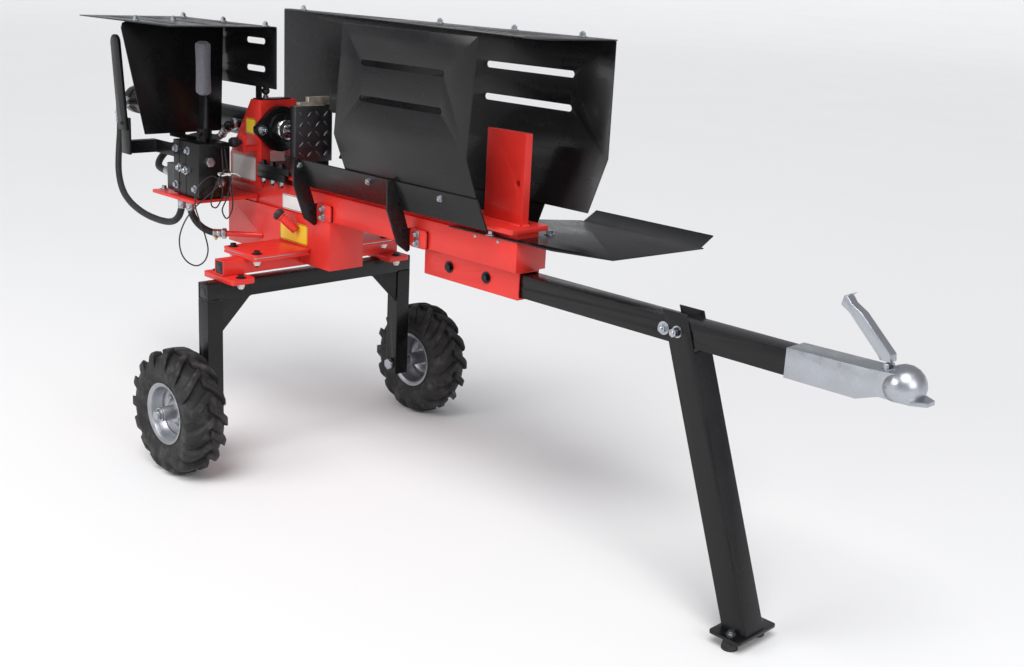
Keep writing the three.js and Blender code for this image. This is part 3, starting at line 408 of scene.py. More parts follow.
def bolt(build, centre, direction, flats=13, height=8, washer=True, thread=0):
    """A bolt head or nut on a washer, with an optional threaded end standing out of it."""
    base = Vector(centre)
    axis = Vector(direction).normalized()
    if washer:
        sleeve(build, flats * 0.25, flats * 0.86, WASHER, base, axis, 24)
        base = base + axis * WASHER * MM
    hexagon(build, base, axis, flats, height)
    if thread:
        r = flats * 0.3
        turned(build, [(r, 0), (r, thread - 1), (r - 1, thread)], base + axis * height * 0.9 * MM, axis, 16)


def cap_nut(build, centre, direction, flats, height):
    """A locking nut: hexagon with a round collar for its nylon ring."""
    hexagon(build, centre, direction, flats, height * 0.7)
    top = Vector(centre) + Vector(direction).normalized() * height * 0.65 * MM
    r = flats * 0.44
    rim = height * 0.4
    turned(build, [(r, 0), (r, height * 0.3), (r * 0.8, rim), (r * 0.6, rim)], top, direction, 20)


def tube(build, points, radius, sides=16, uv=True, bumps=0.0, pitch=0.006):
    """Skins a round tube along points with parallel frames. With bumps it swells in ripples, as a weld bead."""
    points = [Vector(p) for p in points]
    tangents = []
    for i in range(len(points)):
        a, b = points[max(i - 1, 0)], points[min(i + 1, len(points) - 1)]
        tangents.append((b - a).normalized())
    side = tangents[0].orthogonal().normalized()
    layer = build.loops.layers.uv.verify() if uv else None
    rows, lengths, travelled = [], [], 0.0
    for i, (p, t) in enumerate(zip(points, tangents)):
        if i:
            side = tangents[i - 1].rotation_difference(t) @ side
            travelled += (p - points[i - 1]).length
        up = t.cross(side)
        r = radius * (1 + bumps * sin(2 * pi * travelled / pitch))
        rows.append([build.verts.new(p + (side * cos(a) + up * sin(a)) * r) for a in angles(sides)])
        lengths.append(travelled)
    for n, (a, b) in enumerate(zip(rows, rows[1:])):
        for i in range(sides):
            j = (i + 1) % sides
            face = build.faces.new((a[i], a[j], b[j], b[i]))
            if layer:
                for corner, (du, dn) in zip(face.loops, ((0, 0), (1, 0), (1, 1), (0, 1))):
                    corner[layer].uv = ((i + du) / sides, lengths[n + dn])
    build.faces.new(rows[0][::-1])
    build.faces.new(rows[-1])


def bead(build, start, end, radius=0.003):
    """A straight weld bead from start to end."""
    a, b = Vector(start), Vector(end)
    count = max(3, int((b - a).length / 0.0015))
    tube(build, [a.lerp(b, i / count) for i in range(count + 1)], radius, 8, uv=False, bumps=0.16)


def between(p, q, start, end, t):
    return p * ((end - t) / (end - start)) + q * ((t - start) / (end - start))


def spline(points, steps):
    """Points of a smooth curve through the given ones, a centripetal Catmull-Rom spline, evenly spaced."""
    given = [Vector(p) for p in points]
    ends = [given[0] * 2 - given[1], *given, given[-1] * 2 - given[-2]]
    dense = []
    for i in range(1, len(ends) - 2):
        p0, p1, p2, p3 = ends[i - 1:i + 3]
        t1 = sqrt((p1 - p0).length)
        t2 = t1 + sqrt((p2 - p1).length)
        t3 = t2 + sqrt((p3 - p2).length)
        for k in range(24):
            t = t1 + (t2 - t1) * k / 24
            first = between(p0, p1, 0, t1, t)
            second = between(p1, p2, t1, t2, t)
            third = between(p2, p3, t2, t3, t)
            early, late = between(first, second, 0, t2, t), between(second, third, t1, t3, t)
            dense.append(between(early, late, t1, t2, t))
    dense.append(given[-1])
    far = [0.0]
    for a, b in zip(dense, dense[1:]):
        far.append(far[-1] + (b - a).length)
    made, at = [], 0
    for k in range(steps + 1):
        want = far[-1] * k / steps
        while at < len(far) - 2 and far[at + 1] < want:
            at += 1
        share = (want - far[at]) / max(1e-9, far[at + 1] - far[at])
        made.append(dense[at].lerp(dense[at + 1], min(1.0, share)))
    return made, far[-1]


def prism(build, outline, axis, low, high):
    """A flat outline extruded along an axis. Outline axes: X (y, z), Y (z, x), Z (x, y)."""
    order = {"X": (2, 0, 1), "Y": (1, 2, 0), "Z": (0, 1, 2)}[axis]
    rings(build, [[[(u, v, w)[k] for k in order] for u, v in outline] for w in (low, high)])


def rounded(u0, u1, v0, v1, radius, steps=5):
    """The outline of a rectangle with round corners."""
    made = []
    corners = ((u1 - radius, v0 + radius, -90), (u1 - radius, v1 - radius, 0),
               (u0 + radius, v1 - radius, 90), (u0 + radius, v0 + radius, 180))
    for cu, cv, start in corners:
        for k in range(steps + 1):
            a = radians(start + 90 * k / steps)
            made.append((cu + radius * cos(a), cv + radius * sin(a)))
    return made


# ---- camera ----
ORIGIN_X = 464  # the wheel axle stands this many millimetres behind the frame's origin


def at(x, y, z):
    """A point given in millimetres from the ground under the axle, in the shared frame."""
    return Vector(((x - ORIGIN_X) * MM, y * MM, z * MM))


CAMERA_PLACE = (2903.3, -2122.4, 1344.6)
CAMERA_TURN = (44.54, 15.70, 3.02)  # yaw, pitch down and roll in degrees
FOCAL_LENGTH = 45.1


def make_camera():
    yaw, pitch, roll = map(radians, CAMERA_TURN)
    look = Vector((-sin(yaw) * cos(pitch), cos(yaw) * cos(pitch), -sin(pitch)))
    right = Vector((cos(yaw), sin(yaw), 0))
    up = right.cross(look)
    right, up = (right * cos(roll) + up * sin(roll)), (up * cos(roll) - right * sin(roll))
    data = bpy.data.cameras.new("camera")
    data.sensor_width = 36
    data.lens = FOCAL_LENGTH
    data.clip_end = 200
    camera = add("camera", data)
    turn = Matrix((right, up, -look)).transposed().to_4x4()
    camera.matrix_world = Matrix.Translation(at(*CAMERA_PLACE)) @ turn
    SCENE.camera = camera


# ---- hoses and cable ----
HOSE_D = 0.02
CABLE_D = 0.004
ROUTES = {
    "hose_rear_port": [
        (-905, -90, 845), (-905, -90, 825), (-904, -92, 790), (-900, -98, 752), (-888, -108, 712),
        (-866, -121, 676), (-832, -135, 645), (-785, -150, 620), (-725, -164, 602), (-655, -177, 591),
        (-580, -187, 584), (-510, -194, 583), (-462, -198, 585), (-425, -199.5, 589), (-392, -200, 599),
        (-368, -200, 617), (-353, -200, 643), (-350, -200, 659), (-350, -200, 667.7)],
    "hose_front_port": [
        (-302, -84, 868), (-309, -84, 861), (-325.6, -84, 848.3), (-345, -84, 840.3), (-365.6, -83, 837.6),
        (-395, -79.5, 836.5), (-425, -77, 835), (-466, -86, 829), (-496, -111.5, 812.5), (-507.4, -146, 790),
        (-496, -180.5, 767.5), (-466, -206, 751), (-425, -215, 745), (-382.3, -215, 745)],
    "hose_return": [
        (-306, -200, 667.7), (-306, -200, 658), (-302.6, -196.6, 632.6), (-292.8, -186.8, 608.6),
        (-277.7, -171.7, 590.7), (-259.3, -153.3, 581.2), (-249.4, -143.4, 580), (-242, -136, 580)],
}
CABLE_ROUTE = [
    (-164, -184, 837.3), (-163.5, -184, 826), (-160, -184, 800), (-158, -185, 768), (-157, -199, 737),
    (-156, -235, 710), (-156, -275, 682), (-156, -308, 645), (-156, -325, 600), (-156, -318, 555),
    (-156, -296, 528), (-156, -270, 518), (-156, -247, 529), (-155, -237, 556), (-153, -247, 602),
    (-150, -267, 650), (-149, -279, 692), (-149, -273, 730), (-149, -250, 756), (-150, -222, 765),
    (-150, -200, 750), (-149, -192, 722), (-149, -199, 694), (-147, -215, 677), (-145, -230, 685),
    (-143, -230, 710), (-143, -216, 742), (-143, -200, 768), (-143, -185, 782), (-144, -171, 774),
    (-145, -168, 745), (-146, -182, 698), (-147, -195, 668), (-148, -180, 643), (-150, -162, 664),
    (-152, -158, 700), (-155, -163, 745), (-160, -171, 795), (-163.5, -174, 826), (-164, -174, 837.3)]


def make_cord(node, route, diameter, material, steps):
    points, length = spline([at(*p) for p in route], steps)
    build = bmesh.new()
    tube(build, points, diameter / 2, 16 if diameter > 0.01 else 10)
    made = piece(f"{node}_tube", build, material, replaces=node)


def make_cords():
    for node, route in ROUTES.items():
        make_cord(node, route, HOSE_D, HOSE, 90)
    make_cord("control_cable", CABLE_ROUTE, CABLE_D, CABLE, 240)


def make_hose_ends():
    """Crimped ferrules and hexagon swivel nuts where each hose meets its fitting."""
    ferrules, nuts = bmesh.new(), bmesh.new()
    r = HOSE_D / 2 / MM
    for route in ROUTES.values():
        for first, second in ((route[0], route[1]), (route[-1], route[-2])):
            start = at(*first)
            inward = (at(*second) - start).normalized()
            turned(ferrules, [(r + 0.3, 1), (r + 2.2, 2), (r + 2.2, 12), (r + 1.2, 14),
                              (r + 2.2, 16), (r + 2.2, 24), (r + 0.3, 25.5)], start, inward, 24)
            hexagon(nuts, start - inward * 0.001, -inward, 27, 11)
    piece("hose_ferrules", ferrules, ZINC, bevel=0.0004)
    piece("hose_swivel_nuts", nuts, ZINC, bevel=0.0003)


# ---- wheels ----
TREAD_LUGS = 15
# crown of the carcass under the lugs, and top of the lugs, as (offset from the middle, radius) in metres
CARCASS = ((0.0, 0.156), (0.018, 0.155), (0.036, 0.151), (0.049, 0.142), (0.056, 0.13), (0.059, 0.118))
LUG_TOP = ((0.0, 0.17), (0.018, 0.1695), (0.036, 0.1675), (0.049, 0.16), (0.0575, 0.147), (0.0595, 0.137))


def along(table, offset):
    """Straight-line reading of a table of (offset, value) pairs."""
    for (a, p), (b, q) in zip(table, table[1:]):
        if offset <= b:
            return p + (q - p) * (offset - a) / (b - a)
    return table[-1][1]


LUG_SWEEP = 0.34  # how far a tread bar runs round the tyre, in radians


def lug(build, centre, side, start_angle):
    """One curved tread bar from the middle of the tread over the shoulder."""
    steps = 9
    sections = []
    for k in range(steps):
        t = k / (steps - 1)
        offset = -0.004 + t * 0.0625
        top = along(LUG_TOP, abs(offset))
        low = along(CARCASS, abs(offset)) - 0.004
        angle = start_angle + LUG_SWEEP * t ** 1.15
        half_top = (0.0085 + 0.004 * t) / top
        half_low = (0.0125 + 0.005 * t) / low
        section = []
        for r, da in ((low, -half_low), (top, -half_top), (top, half_top), (low, half_low)):
            a = angle + da
            section.append(centre + Vector((r * sin(a), side * offset, r * cos(a))))
        sections.append(section)
    rings(build, sections)


def make_tyre(label):
    low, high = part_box(f"tyre_{label}")
    centre = (low + high) / 2
    half = (high.y - low.y) / 2 / MM
    build = bmesh.new()
    outer = [(75.5, 42.5), (82, 44.5), (88, 47), (90.5, 46.5), (93, 48),
             (100, 53), (108, 56.5), (110, 57.3), (111.5, 56.7), (118, half - 0.4),
             (130, 56.5), (142, 49), (151, 36), (155, 18), (156, 0)]
    inner = [(144, 35), (125, 51), (98, 45), (75.5, 36)]
    profile = [*outer, *mirrored(outer[:-1]), *mirrored(inner), (149, 0), *inner]
    turned(build, profile, centre, (0, 1, 0), 96, closed=True)
    piece(f"tyre_{label}_carcass", build, TYRE, f"wheel_{label}", replaces=f"tyre_{label}")
    lugs = bmesh.new()
    for start in angles(TREAD_LUGS):
        lug(lugs, centre, 1, start)
        lug(lugs, centre, -1, start + pi / TREAD_LUGS)
    piece(f"tyre_{label}_lugs", lugs, TYRE, f"wheel_{label}", bevel=0.0022)


def make_rim(label, side):
    low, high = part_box(f"rim_{label}")
    centre = (low + high) / 2
    out = Vector((0, side, 0))
    build = bmesh.new()
    lip = [(74.5, 41), (80, 42.5), (83.8, 45), (84.2, 47.5), (82.5, 48.2),
           (78, 46), (72.5, 43), (70, 33), (66.5, 18)]
    well = [(64, 15), (64, -15)]
    back = [(70, -24), (67.2, -19), (67.2, 19), (70, 24)]
    turned(build, [*lip, *well, *mirrored(lip), *back], centre, out, 72, closed=True)
    disc = [(18.5, 20), (26, 19.5), (31, 16.5), (36, 8.5), (46, 3.5), (52, 4.5),
            (57, 8.5), (65.5, 10)]
    under = [(r, a - 2.8) for r, a in reversed(disc)]
    turned(build, disc + under, centre, out, 72, closed=True)
    turned(build, [(10.7, -56), (18.5, -56), (19.2, -54), (19.2, 54), (18.5, 56),
                   (10.7, 56)], centre, out, 40, closed=True)
    piece(f"rim_{label}_pressing", build, RIM_ZINC, f"wheel_{label}", bevel=0.0005, replaces=f"rim_{label}")
    bolts = bmesh.new()
    for k in range(4):
        a = pi / 4 + k * pi / 2
        spot = centre + Vector((0.044 * cos(a), 0, 0.044 * sin(a))) + out * 0.0038
        bolt(bolts, spot, out, 11, 6)
    piece(f"rim_{label}_bolts", bolts, ZINC, f"wheel_{label}")
    stem = bmesh.new()
    spot = centre + Vector((0.0615, 0, 0)) + out * 0.01
    turned(stem, [(5, 0), (5, 4), (3.5, 7), (3.3, 18), (4.2, 18.5), (4.2, 26), (3, 28)], spot, out, 20)
    piece(f"rim_{label}_valve_stem", stem, RUBBER, f"wheel_{label}")


POST_TUBE = 0.046  # width of the square tube of the axle posts


def flanks(node, side):
    """How far the inner and outer faces of a node on one side stand from the middle plane."""
    low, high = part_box(node)
    return (low.y, high.y) if side > 0 else (-high.y, -low.y)


def make_stub_axle(label, side):
    """Axle bolt: a round shaft, a spacer against the post, washers and hexagon nuts at both ends."""
    low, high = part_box(f"stub_axle_{label}")
    tail, tip = flanks(f"stub_axle_{label}", side)
    hub_in, hub_out = flanks(f"rim_{label}", side)
    post_out = flanks(f"axle_post_{label}", side)[1]
    post_in = post_out - POST_TUBE
    out = Vector((0, side, 0))
    middle = Vector(((low.x + high.x) / 2, 0, (low.z + high.z) / 2))
    build = bmesh.new()
    length = (tip - tail) / MM
    turned(build, [(10, 3), (10, length - 2), (8.5, length)], middle + out * tail, out, 32)
    spacer = (hub_in - post_out) / MM - 1.2
    sleeve(build, 10.2, 15.8, spacer, middle + out * (post_out + 0.0006), out)
    hexagon(build, middle + out * (post_in - 0.0005), -out, 30, 12.5)
    sleeve(build, 10.2, 19, 3, middle + out * (hub_out + 0.0003), out)
    cap_nut(build, middle + out * (hub_out + 0.0035), out, 28, 12.5)
    piece(f"stub_axle_{label}_bolt", build, ZINC, bevel=0.0003, replaces=f"stub_axle_{label}")


def make_wheels():
    for label, side in SIDES:
        make_tyre(label)
        make_rim(label, side)
        make_stub_axle(label, side)


# ---- bolted flanges ----
def flange_bolt(heads, nuts, x, y, above, below):
    """A black bolt from the top face of a flange with a white locking nut under it."""
    under = Vector((x, y, below))
    bolt(heads, Vector((x, y, above)), UP, 16, 7.5)
    turned(heads, [(5, 0), (5, 18), (4, 19.5)], under, -UP, 16)
    sleeve(nuts, 5, 11.5, 1.2, under, -UP, 24)
    cap_nut(nuts, under - UP * 0.0012, -UP, 17, 13)


def make_flanges():
    """Axle and tank flanges as plates of their own, bolted through on both sides of the cross tube."""
    heads, nuts = bmesh.new(), bmesh.new()
    axle_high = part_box("axle_cross_tube")[1]
    mount_low, mount_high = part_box("mount_tube")
    for label, side in SIDES:
        low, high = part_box(f"axle_flange_{label}")
        bottom, top = axle_high.z + 0.0003, mount_low.z - 0.0003
        plate = bmesh.new()
        prism(plate, rounded(low.x, high.x, low.y, high.y, 0.008), "Z", bottom, top)
        piece(f"axle_flange_{label}_plate", plate, RED, bevel=0.0012, replaces=f"axle_flange_{label}")
        middle = (low + high) / 2
        for dx in (-0.056, 0.056):
            flange_bolt(heads, nuts, middle.x + dx, middle.y, top, bottom)
        low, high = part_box(f"tank_flange_{label}")
        bottom = mount_high.z + 0.0003
        plate, shim = bmesh.new(), bmesh.new()
        outline = rounded(low.x, high.x, low.y, high.y, 0.008)
        prism(plate, outline, "Z", bottom, bottom + 0.007)
        prism(plate, outline, "Z", bottom + 0.01, bottom + 0.017)
        prism(shim, rounded(low.x + 0.002, high.x - 0.002, low.y + 0.002, high.y - 0.002, 0.007), "Z",
              bottom + 0.007, bottom + 0.01)
        piece(f"tank_flange_{label}_plates", plate, RED, bevel=0.0012, replaces=f"tank_flange_{label}")
        piece(f"tank_flange_{label}_shim", shim, ZINC, bevel=0.0004)
        outer = max(abs(low.y), abs(high.y)) - 0.02
        for dx in (-0.057, 0.057):
            flange_bolt(heads, nuts, middle.x + dx, side * outer, bottom + 0.017, bottom)
    piece("flange_bolts", heads, BLACK_OXIDE)
    piece("flange_lock_nuts", nuts, NYLON)


def make_end_plugs():
    """Plastic plugs in the open ends of the axle and mount tubes."""
    build = bmesh.new()
    for node in ("axle_cross_tube", "mount_tube"):
        low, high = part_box(node)
        cx, cz = (low.x + high.x) / 2, (low.z + high.z) / 2
        half = (high.z - low.z) / 2 - 0.0045
        for edge, inward in ((low.y, 1), (high.y, -1)):
            for size, radius, start, end in ((half, 0.004, 0.0008, 0.012), (half * 0.6, 0.003, -0.0006, 0.004)):
                face = rounded(cz - size, cz + size, cx - size, cx + size, radius)
                prism(build, face, "Y", *sorted((edge + inward * start, edge + inward * end)))
    piece("tube_end_plugs", build, PLASTIC, bevel=0.001)


# ---- fasteners on the beam, cradle, guards and drawbar ----
ARMS_X = (100, 490)  # rear faces of the cradle's support arms
DRAWBAR_Z = 638  # height of the drawbar's axis
CYLINDER_Z = 885  # height of the cylinder's axis
LOG_ROOF_Z, LEVER_ROOF_Z, TABLE_Z = 1209.4, 1169.2, 748.4  # tops of the two roofs and of the outfeed table
CRADLE_BOLT_Z = 826
GIB_BOLT_Y = 68.4
RAIL_TOP_Z = 774.6
DRAWBAR_BOLTS_X = (620, 752)
LEG_PIVOT_X = 1330
VALVE_FACE_Y = -250.2  # near face of the valve, with the gap under its bolts
CRADLE_Y, CRADLE_Z = 81, 766  # foot of the outer face of a log cradle plate
SLOPE = (162 - CRADLE_Y) / (935 - CRADLE_Z)  # the plate leans out this much for each step up


def slope_point(side, x, z, off=0.0):
    """A point on the outer face of a log cradle plate, lifted off it by off millimetres."""
    length = hypot(SLOPE, 1)
    return at(x, side * (CRADLE_Y + SLOPE * (z - CRADLE_Z) + off / length), z - off * SLOPE / length)


def make_brackets():
    """Red bracket plates with round corners that clamp the cradle's arms to the beam."""
    build = bmesh.new()
    for side in BOTH:
        for x in ARMS_X:
            low, high = at(x + 6.4, 0, 671), at(x + 68, 0, 718)
            outline = rounded(low.z, high.z, low.x, high.x, 0.009)
            prism(build, outline, "Y", *sorted((side * 0.0552, side * 0.0604)))
    piece("arm_brackets", build, RED, bevel=0.0012)


def make_fasteners():
    zinc, black = bmesh.new(), bmesh.new()
    for side in BOTH:
        out = Vector((0, side, -SLOPE)).normalized()
        for x in (104, 397, 668):
            bolt(zinc, slope_point(side, x, CRADLE_BOLT_Z, 0.2), out, 15, 9, thread=6)
            head = slope_point(side, x, CRADLE_BOLT_Z, -7.6)
            turned(zinc, [(10, 0), (8.5, 2.5), (4, 3.8)], head, -out, 24)
        for x in ARMS_X:
            for z in (683, 706):
                bolt(zinc, at(x + 34, side * 60.6, z), (0, side, 0), thread=4)
    for x in (-250, 346, 620, 846):
        bolt(zinc, at(x, 150, LOG_ROOF_Z), UP, thread=4)
    for x, y in ((-560, -60), (-345, -60), (-135, -60), (-352, -215), (-352, -330)):
        bolt(zinc, at(x, y, LEVER_ROOF_Z), UP, thread=4)
    for x, y in ((778, -51), (846, 78), (700, 78)):
        bolt(zinc, at(x, y, TABLE_Z), UP, 15, 8.5)
    for x in (724, 802):
        turned(zinc, [(4.5, 0), (4, 1.6), (2, 2.2)], at(x, -50.1, 736), TO_NEAR, 16)
    for x in DRAWBAR_BOLTS_X:
        for side in BOTH:
            bolt(black, at(x, side * 34.1, DRAWBAR_Z), (0, side, 0), 17, 7)
    for side in BOTH:
        bolt(zinc, at(1294, side * 30.7, DRAWBAR_Z), (0, side, 0), 17, 9, thread=5)
    piece("beam_and_guard_bolts", zinc, ZINC)
    piece("drawbar_socket_bolts", black, BLACK_OXIDE)
    leg = bmesh.new()
    for side in BOTH:
        bolt(leg, at(LEG_PIVOT_X, side * 39.2, DRAWBAR_Z), (0, side, 0), 17, 9, washer=False, thread=4)
        sleeve(leg, 6, 13, 1.8, at(LEG_PIVOT_X, side * 30.6, DRAWBAR_Z), (0, side, 0), 28)
    piece("parking_leg_pivot_nuts", leg, ZINC, "parking_leg")


def make_welds():
    """Weld beads along the joints of the frame, in the colour of the paint over them."""
    black, red = bmesh.new(), bmesh.new()
    middle = at(0, 0, 0).x
    for label, side in SIDES:
        low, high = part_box(f"axle_post_{label}")
        inner = high.y if side < 0 else low.y
        face = side * (0.35 - POST_TUBE)
        top = high.z
        x, y = middle + 0.0135, face - side * 0.002
        bead(black, (x, y, top - 0.092), (x, y, top - 0.003))
        bead(black, (x, inner, top - 0.0005), (x, face, top - 0.0005))
        for x in (middle - 0.0225, middle + 0.0225):
            bead(black, (x, side * 0.306, top + 0.0002), (x, side * 0.348, top + 0.0002))
        for x in ARMS_X:
            bead(black, slope_point(side, x + 7, 770, 0), slope_point(side, x + 7, 838, 0), 0.0026)
    for y in (-12, 12):
        bead(red, at(740, y, RAIL_TOP_Z), at(836, y, RAIL_TOP_Z), 0.004)
        bead(red, at(702, y * 0.2, RAIL_TOP_Z), at(740, y, RAIL_TOP_Z), 0.0035)
    bead(red, at(838.5, -11, RAIL_TOP_Z), at(838.5, 11, RAIL_TOP_Z), 0.004)
    for side in BOTH:
        bead(red, at(-312, side * 51.5, 722), at(-160, side * 51.5, 722), 0.0035)
        bead(red, at(-314.5, side * 51.5, 724), at(-314.5, side * 51.5, 744), 0.0035)
        bead(red, at(-150, side * 36.5, 746.5), at(700, side * 36.5, 746.5), 0.003)
        bead(red, at(528, side * 34.6, 671.5), at(858, side * 34.6, 671.5), 0.0032)
    piece("frame_welds_black", black, BLACK)
    piece("frame_welds_red", red, RED)


# ---- pusher ----
def lozenge(build, face, y, z, turn):
    """One raised lozenge on a face that looks along +X, pointed at both ends and rounded on top."""
    reach, half, steps = 0.0112, 0.0034, 12
    loops = []
    for scale, rise in ((1.0, -0.0004), (0.84, 0.001), (0.55, 0.0016), (0.2, 0.0018)):
        loop = []
        for k in range(2 * steps):
            a = pi * k / steps
            u = reach * cos(a) * scale
            v = half * copysign(abs(sin(a)) ** 1.3, sin(a)) * scale
            loop.append((face + rise, y + u * cos(turn) - v * sin(turn),
                         z + u * sin(turn) + v * cos(turn)))
        loops.append(loop)
    rings(build, loops)


def make_tread_plate():
    """Tread plate on the pusher: ground steel with raised lozenges in two crossed directions, the lozenges
    coloured lighter than the plate as a painted highlight.
    """
    low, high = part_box("pusher_plate")
    plate, build = bmesh.new(), bmesh.new()
    cut = 0.022
    outline = [(low.y, low.z), (high.y, low.z), (high.y, high.z - cut), (high.y - cut, high.z), (low.y, high.z)]
    prism(plate, outline, "X", low.x, high.x)
    piece("pusher_tread_plate", plate, TREAD_PLATE, "pusher", bevel=0.001, replaces="pusher_plate")
    pitch, margin = 0.0272, 0.012
    rows = int((high.z - low.z - 2 * margin) / pitch) + 1
    columns = int((high.y - low.y - 2 * margin) / pitch) + 1
    for i in range(rows):
        for j in range(columns):
            y = (low.y + high.y) / 2 + (j - (columns - 1) / 2) * pitch
            z = (low.z + high.z) / 2 + (i - (rows - 1) / 2) * pitch
            if (high.y - y) + (high.z - z) > cut + 0.018:
                lozenge(build, high.x, y, z, radians(45 if (i + j) % 2 else -45))
    # the lozenges take the lighter finish that paints their highlight
    piece("pusher_tread_pattern", build, TREAD_HIGHLIGHT, "pusher")


def make_pusher_details():
    make_tread_plate()
    tops = bmesh.new()
    lap = 0.4
    for y0, y1, top in ((-40, -9, 974), (-10, 61, 988)):
        low, high = at(-16.3 - lap, y0 - lap, 966.4), at(-2.3 + lap, y1 + lap, top + lap)
        prism(tops, rounded(low.x, high.x, low.y, high.y, 0.0015), "Z", low.z, high.z)
    low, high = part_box("pusher_plate")
    prism(tops, rounded(low.x + 0.0006, high.x - 0.0006, low.y + 0.001, 0.0395, 0.001), "Z",
          high.z - 0.0001, high.z + 0.0004)
    piece("pusher_ground_tops", tops, STEEL, "pusher", bevel=0.0005)
    bolts, nuts = bmesh.new(), bmesh.new()
    for side in BOTH:
        for x in (-132, -88, -44):
            bolt(bolts, at(x, side * GIB_BOLT_Y, 792.5), UP, 15.2, 9.5)
            cap_nut(nuts, at(x, side * GIB_BOLT_Y, 753), -UP, 15.2, 10.5)
            turned(bolts, [(4.5, 0), (4.5, 6), (3.5, 7)], at(x, side * GIB_BOLT_Y, 743), -UP, 16)
    piece("pusher_gib_bolts", bolts, BLACK_OXIDE, "pusher")
    piece("pusher_gib_nuts", nuts, ZINC, "pusher")


# ---- cylinder ----
def make_cylinder_details():
    axis_z = at(0, 0, CYLINDER_Z).z
    forward = Vector((1, 0, 0))
    gland = bmesh.new()
    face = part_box("cylinder_gland")[1].x
    centre = Vector((face, 0, axis_z))
    turned(gland, [(18.2, -4), (28.2, -4), (28.8, -1), (26.5, 1.5), (23.5, 1.8),
                   (22.5, 0.8), (20.5, 0.8), (18.2, 1.2)], centre, forward, 48, closed=True)
    piece("cylinder_gland_collar", gland, CHROME, bevel=0.0003)
    wiper = bmesh.new()
    turned(wiper, [(17.8, 0), (21.2, 0), (20.8, 3), (18.5, 4.6), (17.8, 4.6)],
           centre, forward, 48, closed=True)
    piece("cylinder_rod_wiper", wiper, RUBBER)
    bolts = bmesh.new()
    low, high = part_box("cylinder_flange")
    reach = (high.y - low.y) / 2 - 0.019
    face = at(-139.7, 0, 0).x
    for dy in (-reach, reach):
        bolt(bolts, Vector((face + 0.0002, dy, axis_z)), forward, 17, 11, thread=9)
    piece("cylinder_flange_bolts", bolts, ZINC)
    bands = bmesh.new()
    for x in (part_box("cylinder_barrel")[0].x + 0.006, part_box("cylinder_mount")[1].x - 0.0165):
        turned(bands, [(39.8, -4), (41.2, -3), (41.6, 0), (41.2, 3), (39.8, 4)],
               Vector((x, 0, axis_z)), forward, 56)
    piece("cylinder_barrel_welds", bands, BLACK)
    ports = bmesh.new()
    for x in (-905, -285):
        hexagon(ports, at(x, -62, CYLINDER_Z), TO_NEAR, 30, 10)
    piece("cylinder_port_nuts", ports, ZINC, bevel=0.0003)


# ---- valve, levers and guard ----
def make_valve_details():
    zinc, black = bmesh.new(), bmesh.new()
    for x, z in ((-292, 826), (-230, 826), (-292, 724), (-194, 724)):
        bolt(zinc, at(x, VALVE_FACE_Y, z), TO_NEAR)
    for x, z in ((-230, 772), (-262, 776)):
        hexagon(zinc, at(x, -250.1, z), TO_NEAR, 22, 10)
        turned(zinc, [(7.5, 0), (7.5, 7), (6, 9)], at(x, -259.5, z), TO_NEAR, 24)
    hexagon(zinc, at(-176, -218, 800), (1, 0, 0), 24, 12)
    hexagon(zinc, at(-176, -184, 740), (1, 0, 0), 22, 10)
    for x in (-350, -306):
        hexagon(zinc, at(x, -200, 685.5), -UP, 26, 10)
    hexagon(zinc, at(-368.2, -215, 745), (-1, 0, 0), 28, 12)
    for x in (-392, -212):
        bolt(zinc, at(x, -232, 694.2), UP)
    piece("valve_plugs_and_bolts", zinc, ZINC)
    for x in (-277, -243):
        low, high = at(x - 1.2, -251.2, 700), at(x + 1.2, -148.8, 851.2)
        prism(black, [(low.x, low.y), (high.x, low.y), (high.x, high.y), (low.x, high.y)], "Z", low.z, high.z)
    turned(black, [(17, 0), (19, 3), (16, 6), (18, 9), (14, 12), (12.5, 14)],
           at(-306.2, -200, 820), (-1, 0, 0), 32)
    piece("valve_section_ribs", black, BLACK, bevel=0.0004)


def make_grip():
    """Foam grip as one soft form: oval section, rounded ends and a slight waist."""
    low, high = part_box("control_lever_grip")
    cx, cy = (low.x + high.x) / 2, (low.y + high.y) / 2
    rx, ry = (high.x - low.x) / 2, (high.y - low.y) / 2
    height = high.z - low.z
    build = bmesh.new()
    loops = []
    steps = 22
    for k in range(steps + 1):
        t = k / steps
        end = min(t, 1 - t) * height
        rounding = sqrt(max(0.0, 1 - (1 - min(1.0, end / 0.011)) ** 2))
        waist = 1 - 0.07 * sin(pi * t) ** 2
        size = (0.5 + 0.5 * rounding) * waist
        loop = []
        for a in angles(28):
            c, s = cos(a), sin(a)
            loop.append((cx + rx * size * copysign(abs(c) ** 0.7, c),
                         cy + ry * size * copysign(abs(s) ** 0.7, s), low.z + t * height))
        loops.append(loop)
    rings(build, loops)
    grip = piece("control_lever_foam", build, FOAM, "control_lever", replaces="control_lever_grip")


def make_knob():
    low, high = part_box("stop_knob")
    build = bmesh.new()
    centre = Vector(((low.x + high.x) / 2, high.y, (low.z + high.z) / 2))
    depth = (high.y - low.y) / MM
    turned(build, [(6, 0), (6, depth - 27), (11, depth - 26), (13.5, depth - 22),
                   (13.8, depth - 6), (12, depth - 1.5), (6, depth - 0.2)],
           centre, TO_NEAR, 36)
    for a in angles(10):
        spot = centre + Vector((0.0132 * cos(a), (22 - depth) * MM, 0.0132 * sin(a)))
        turned(build, [(1.1, 0), (1.3, 2), (1.3, 14), (0.8, 16)], spot, TO_NEAR, 8)
    piece("stop_knob_fluted", build, PLASTIC, "stop_knob", replaces="stop_knob")


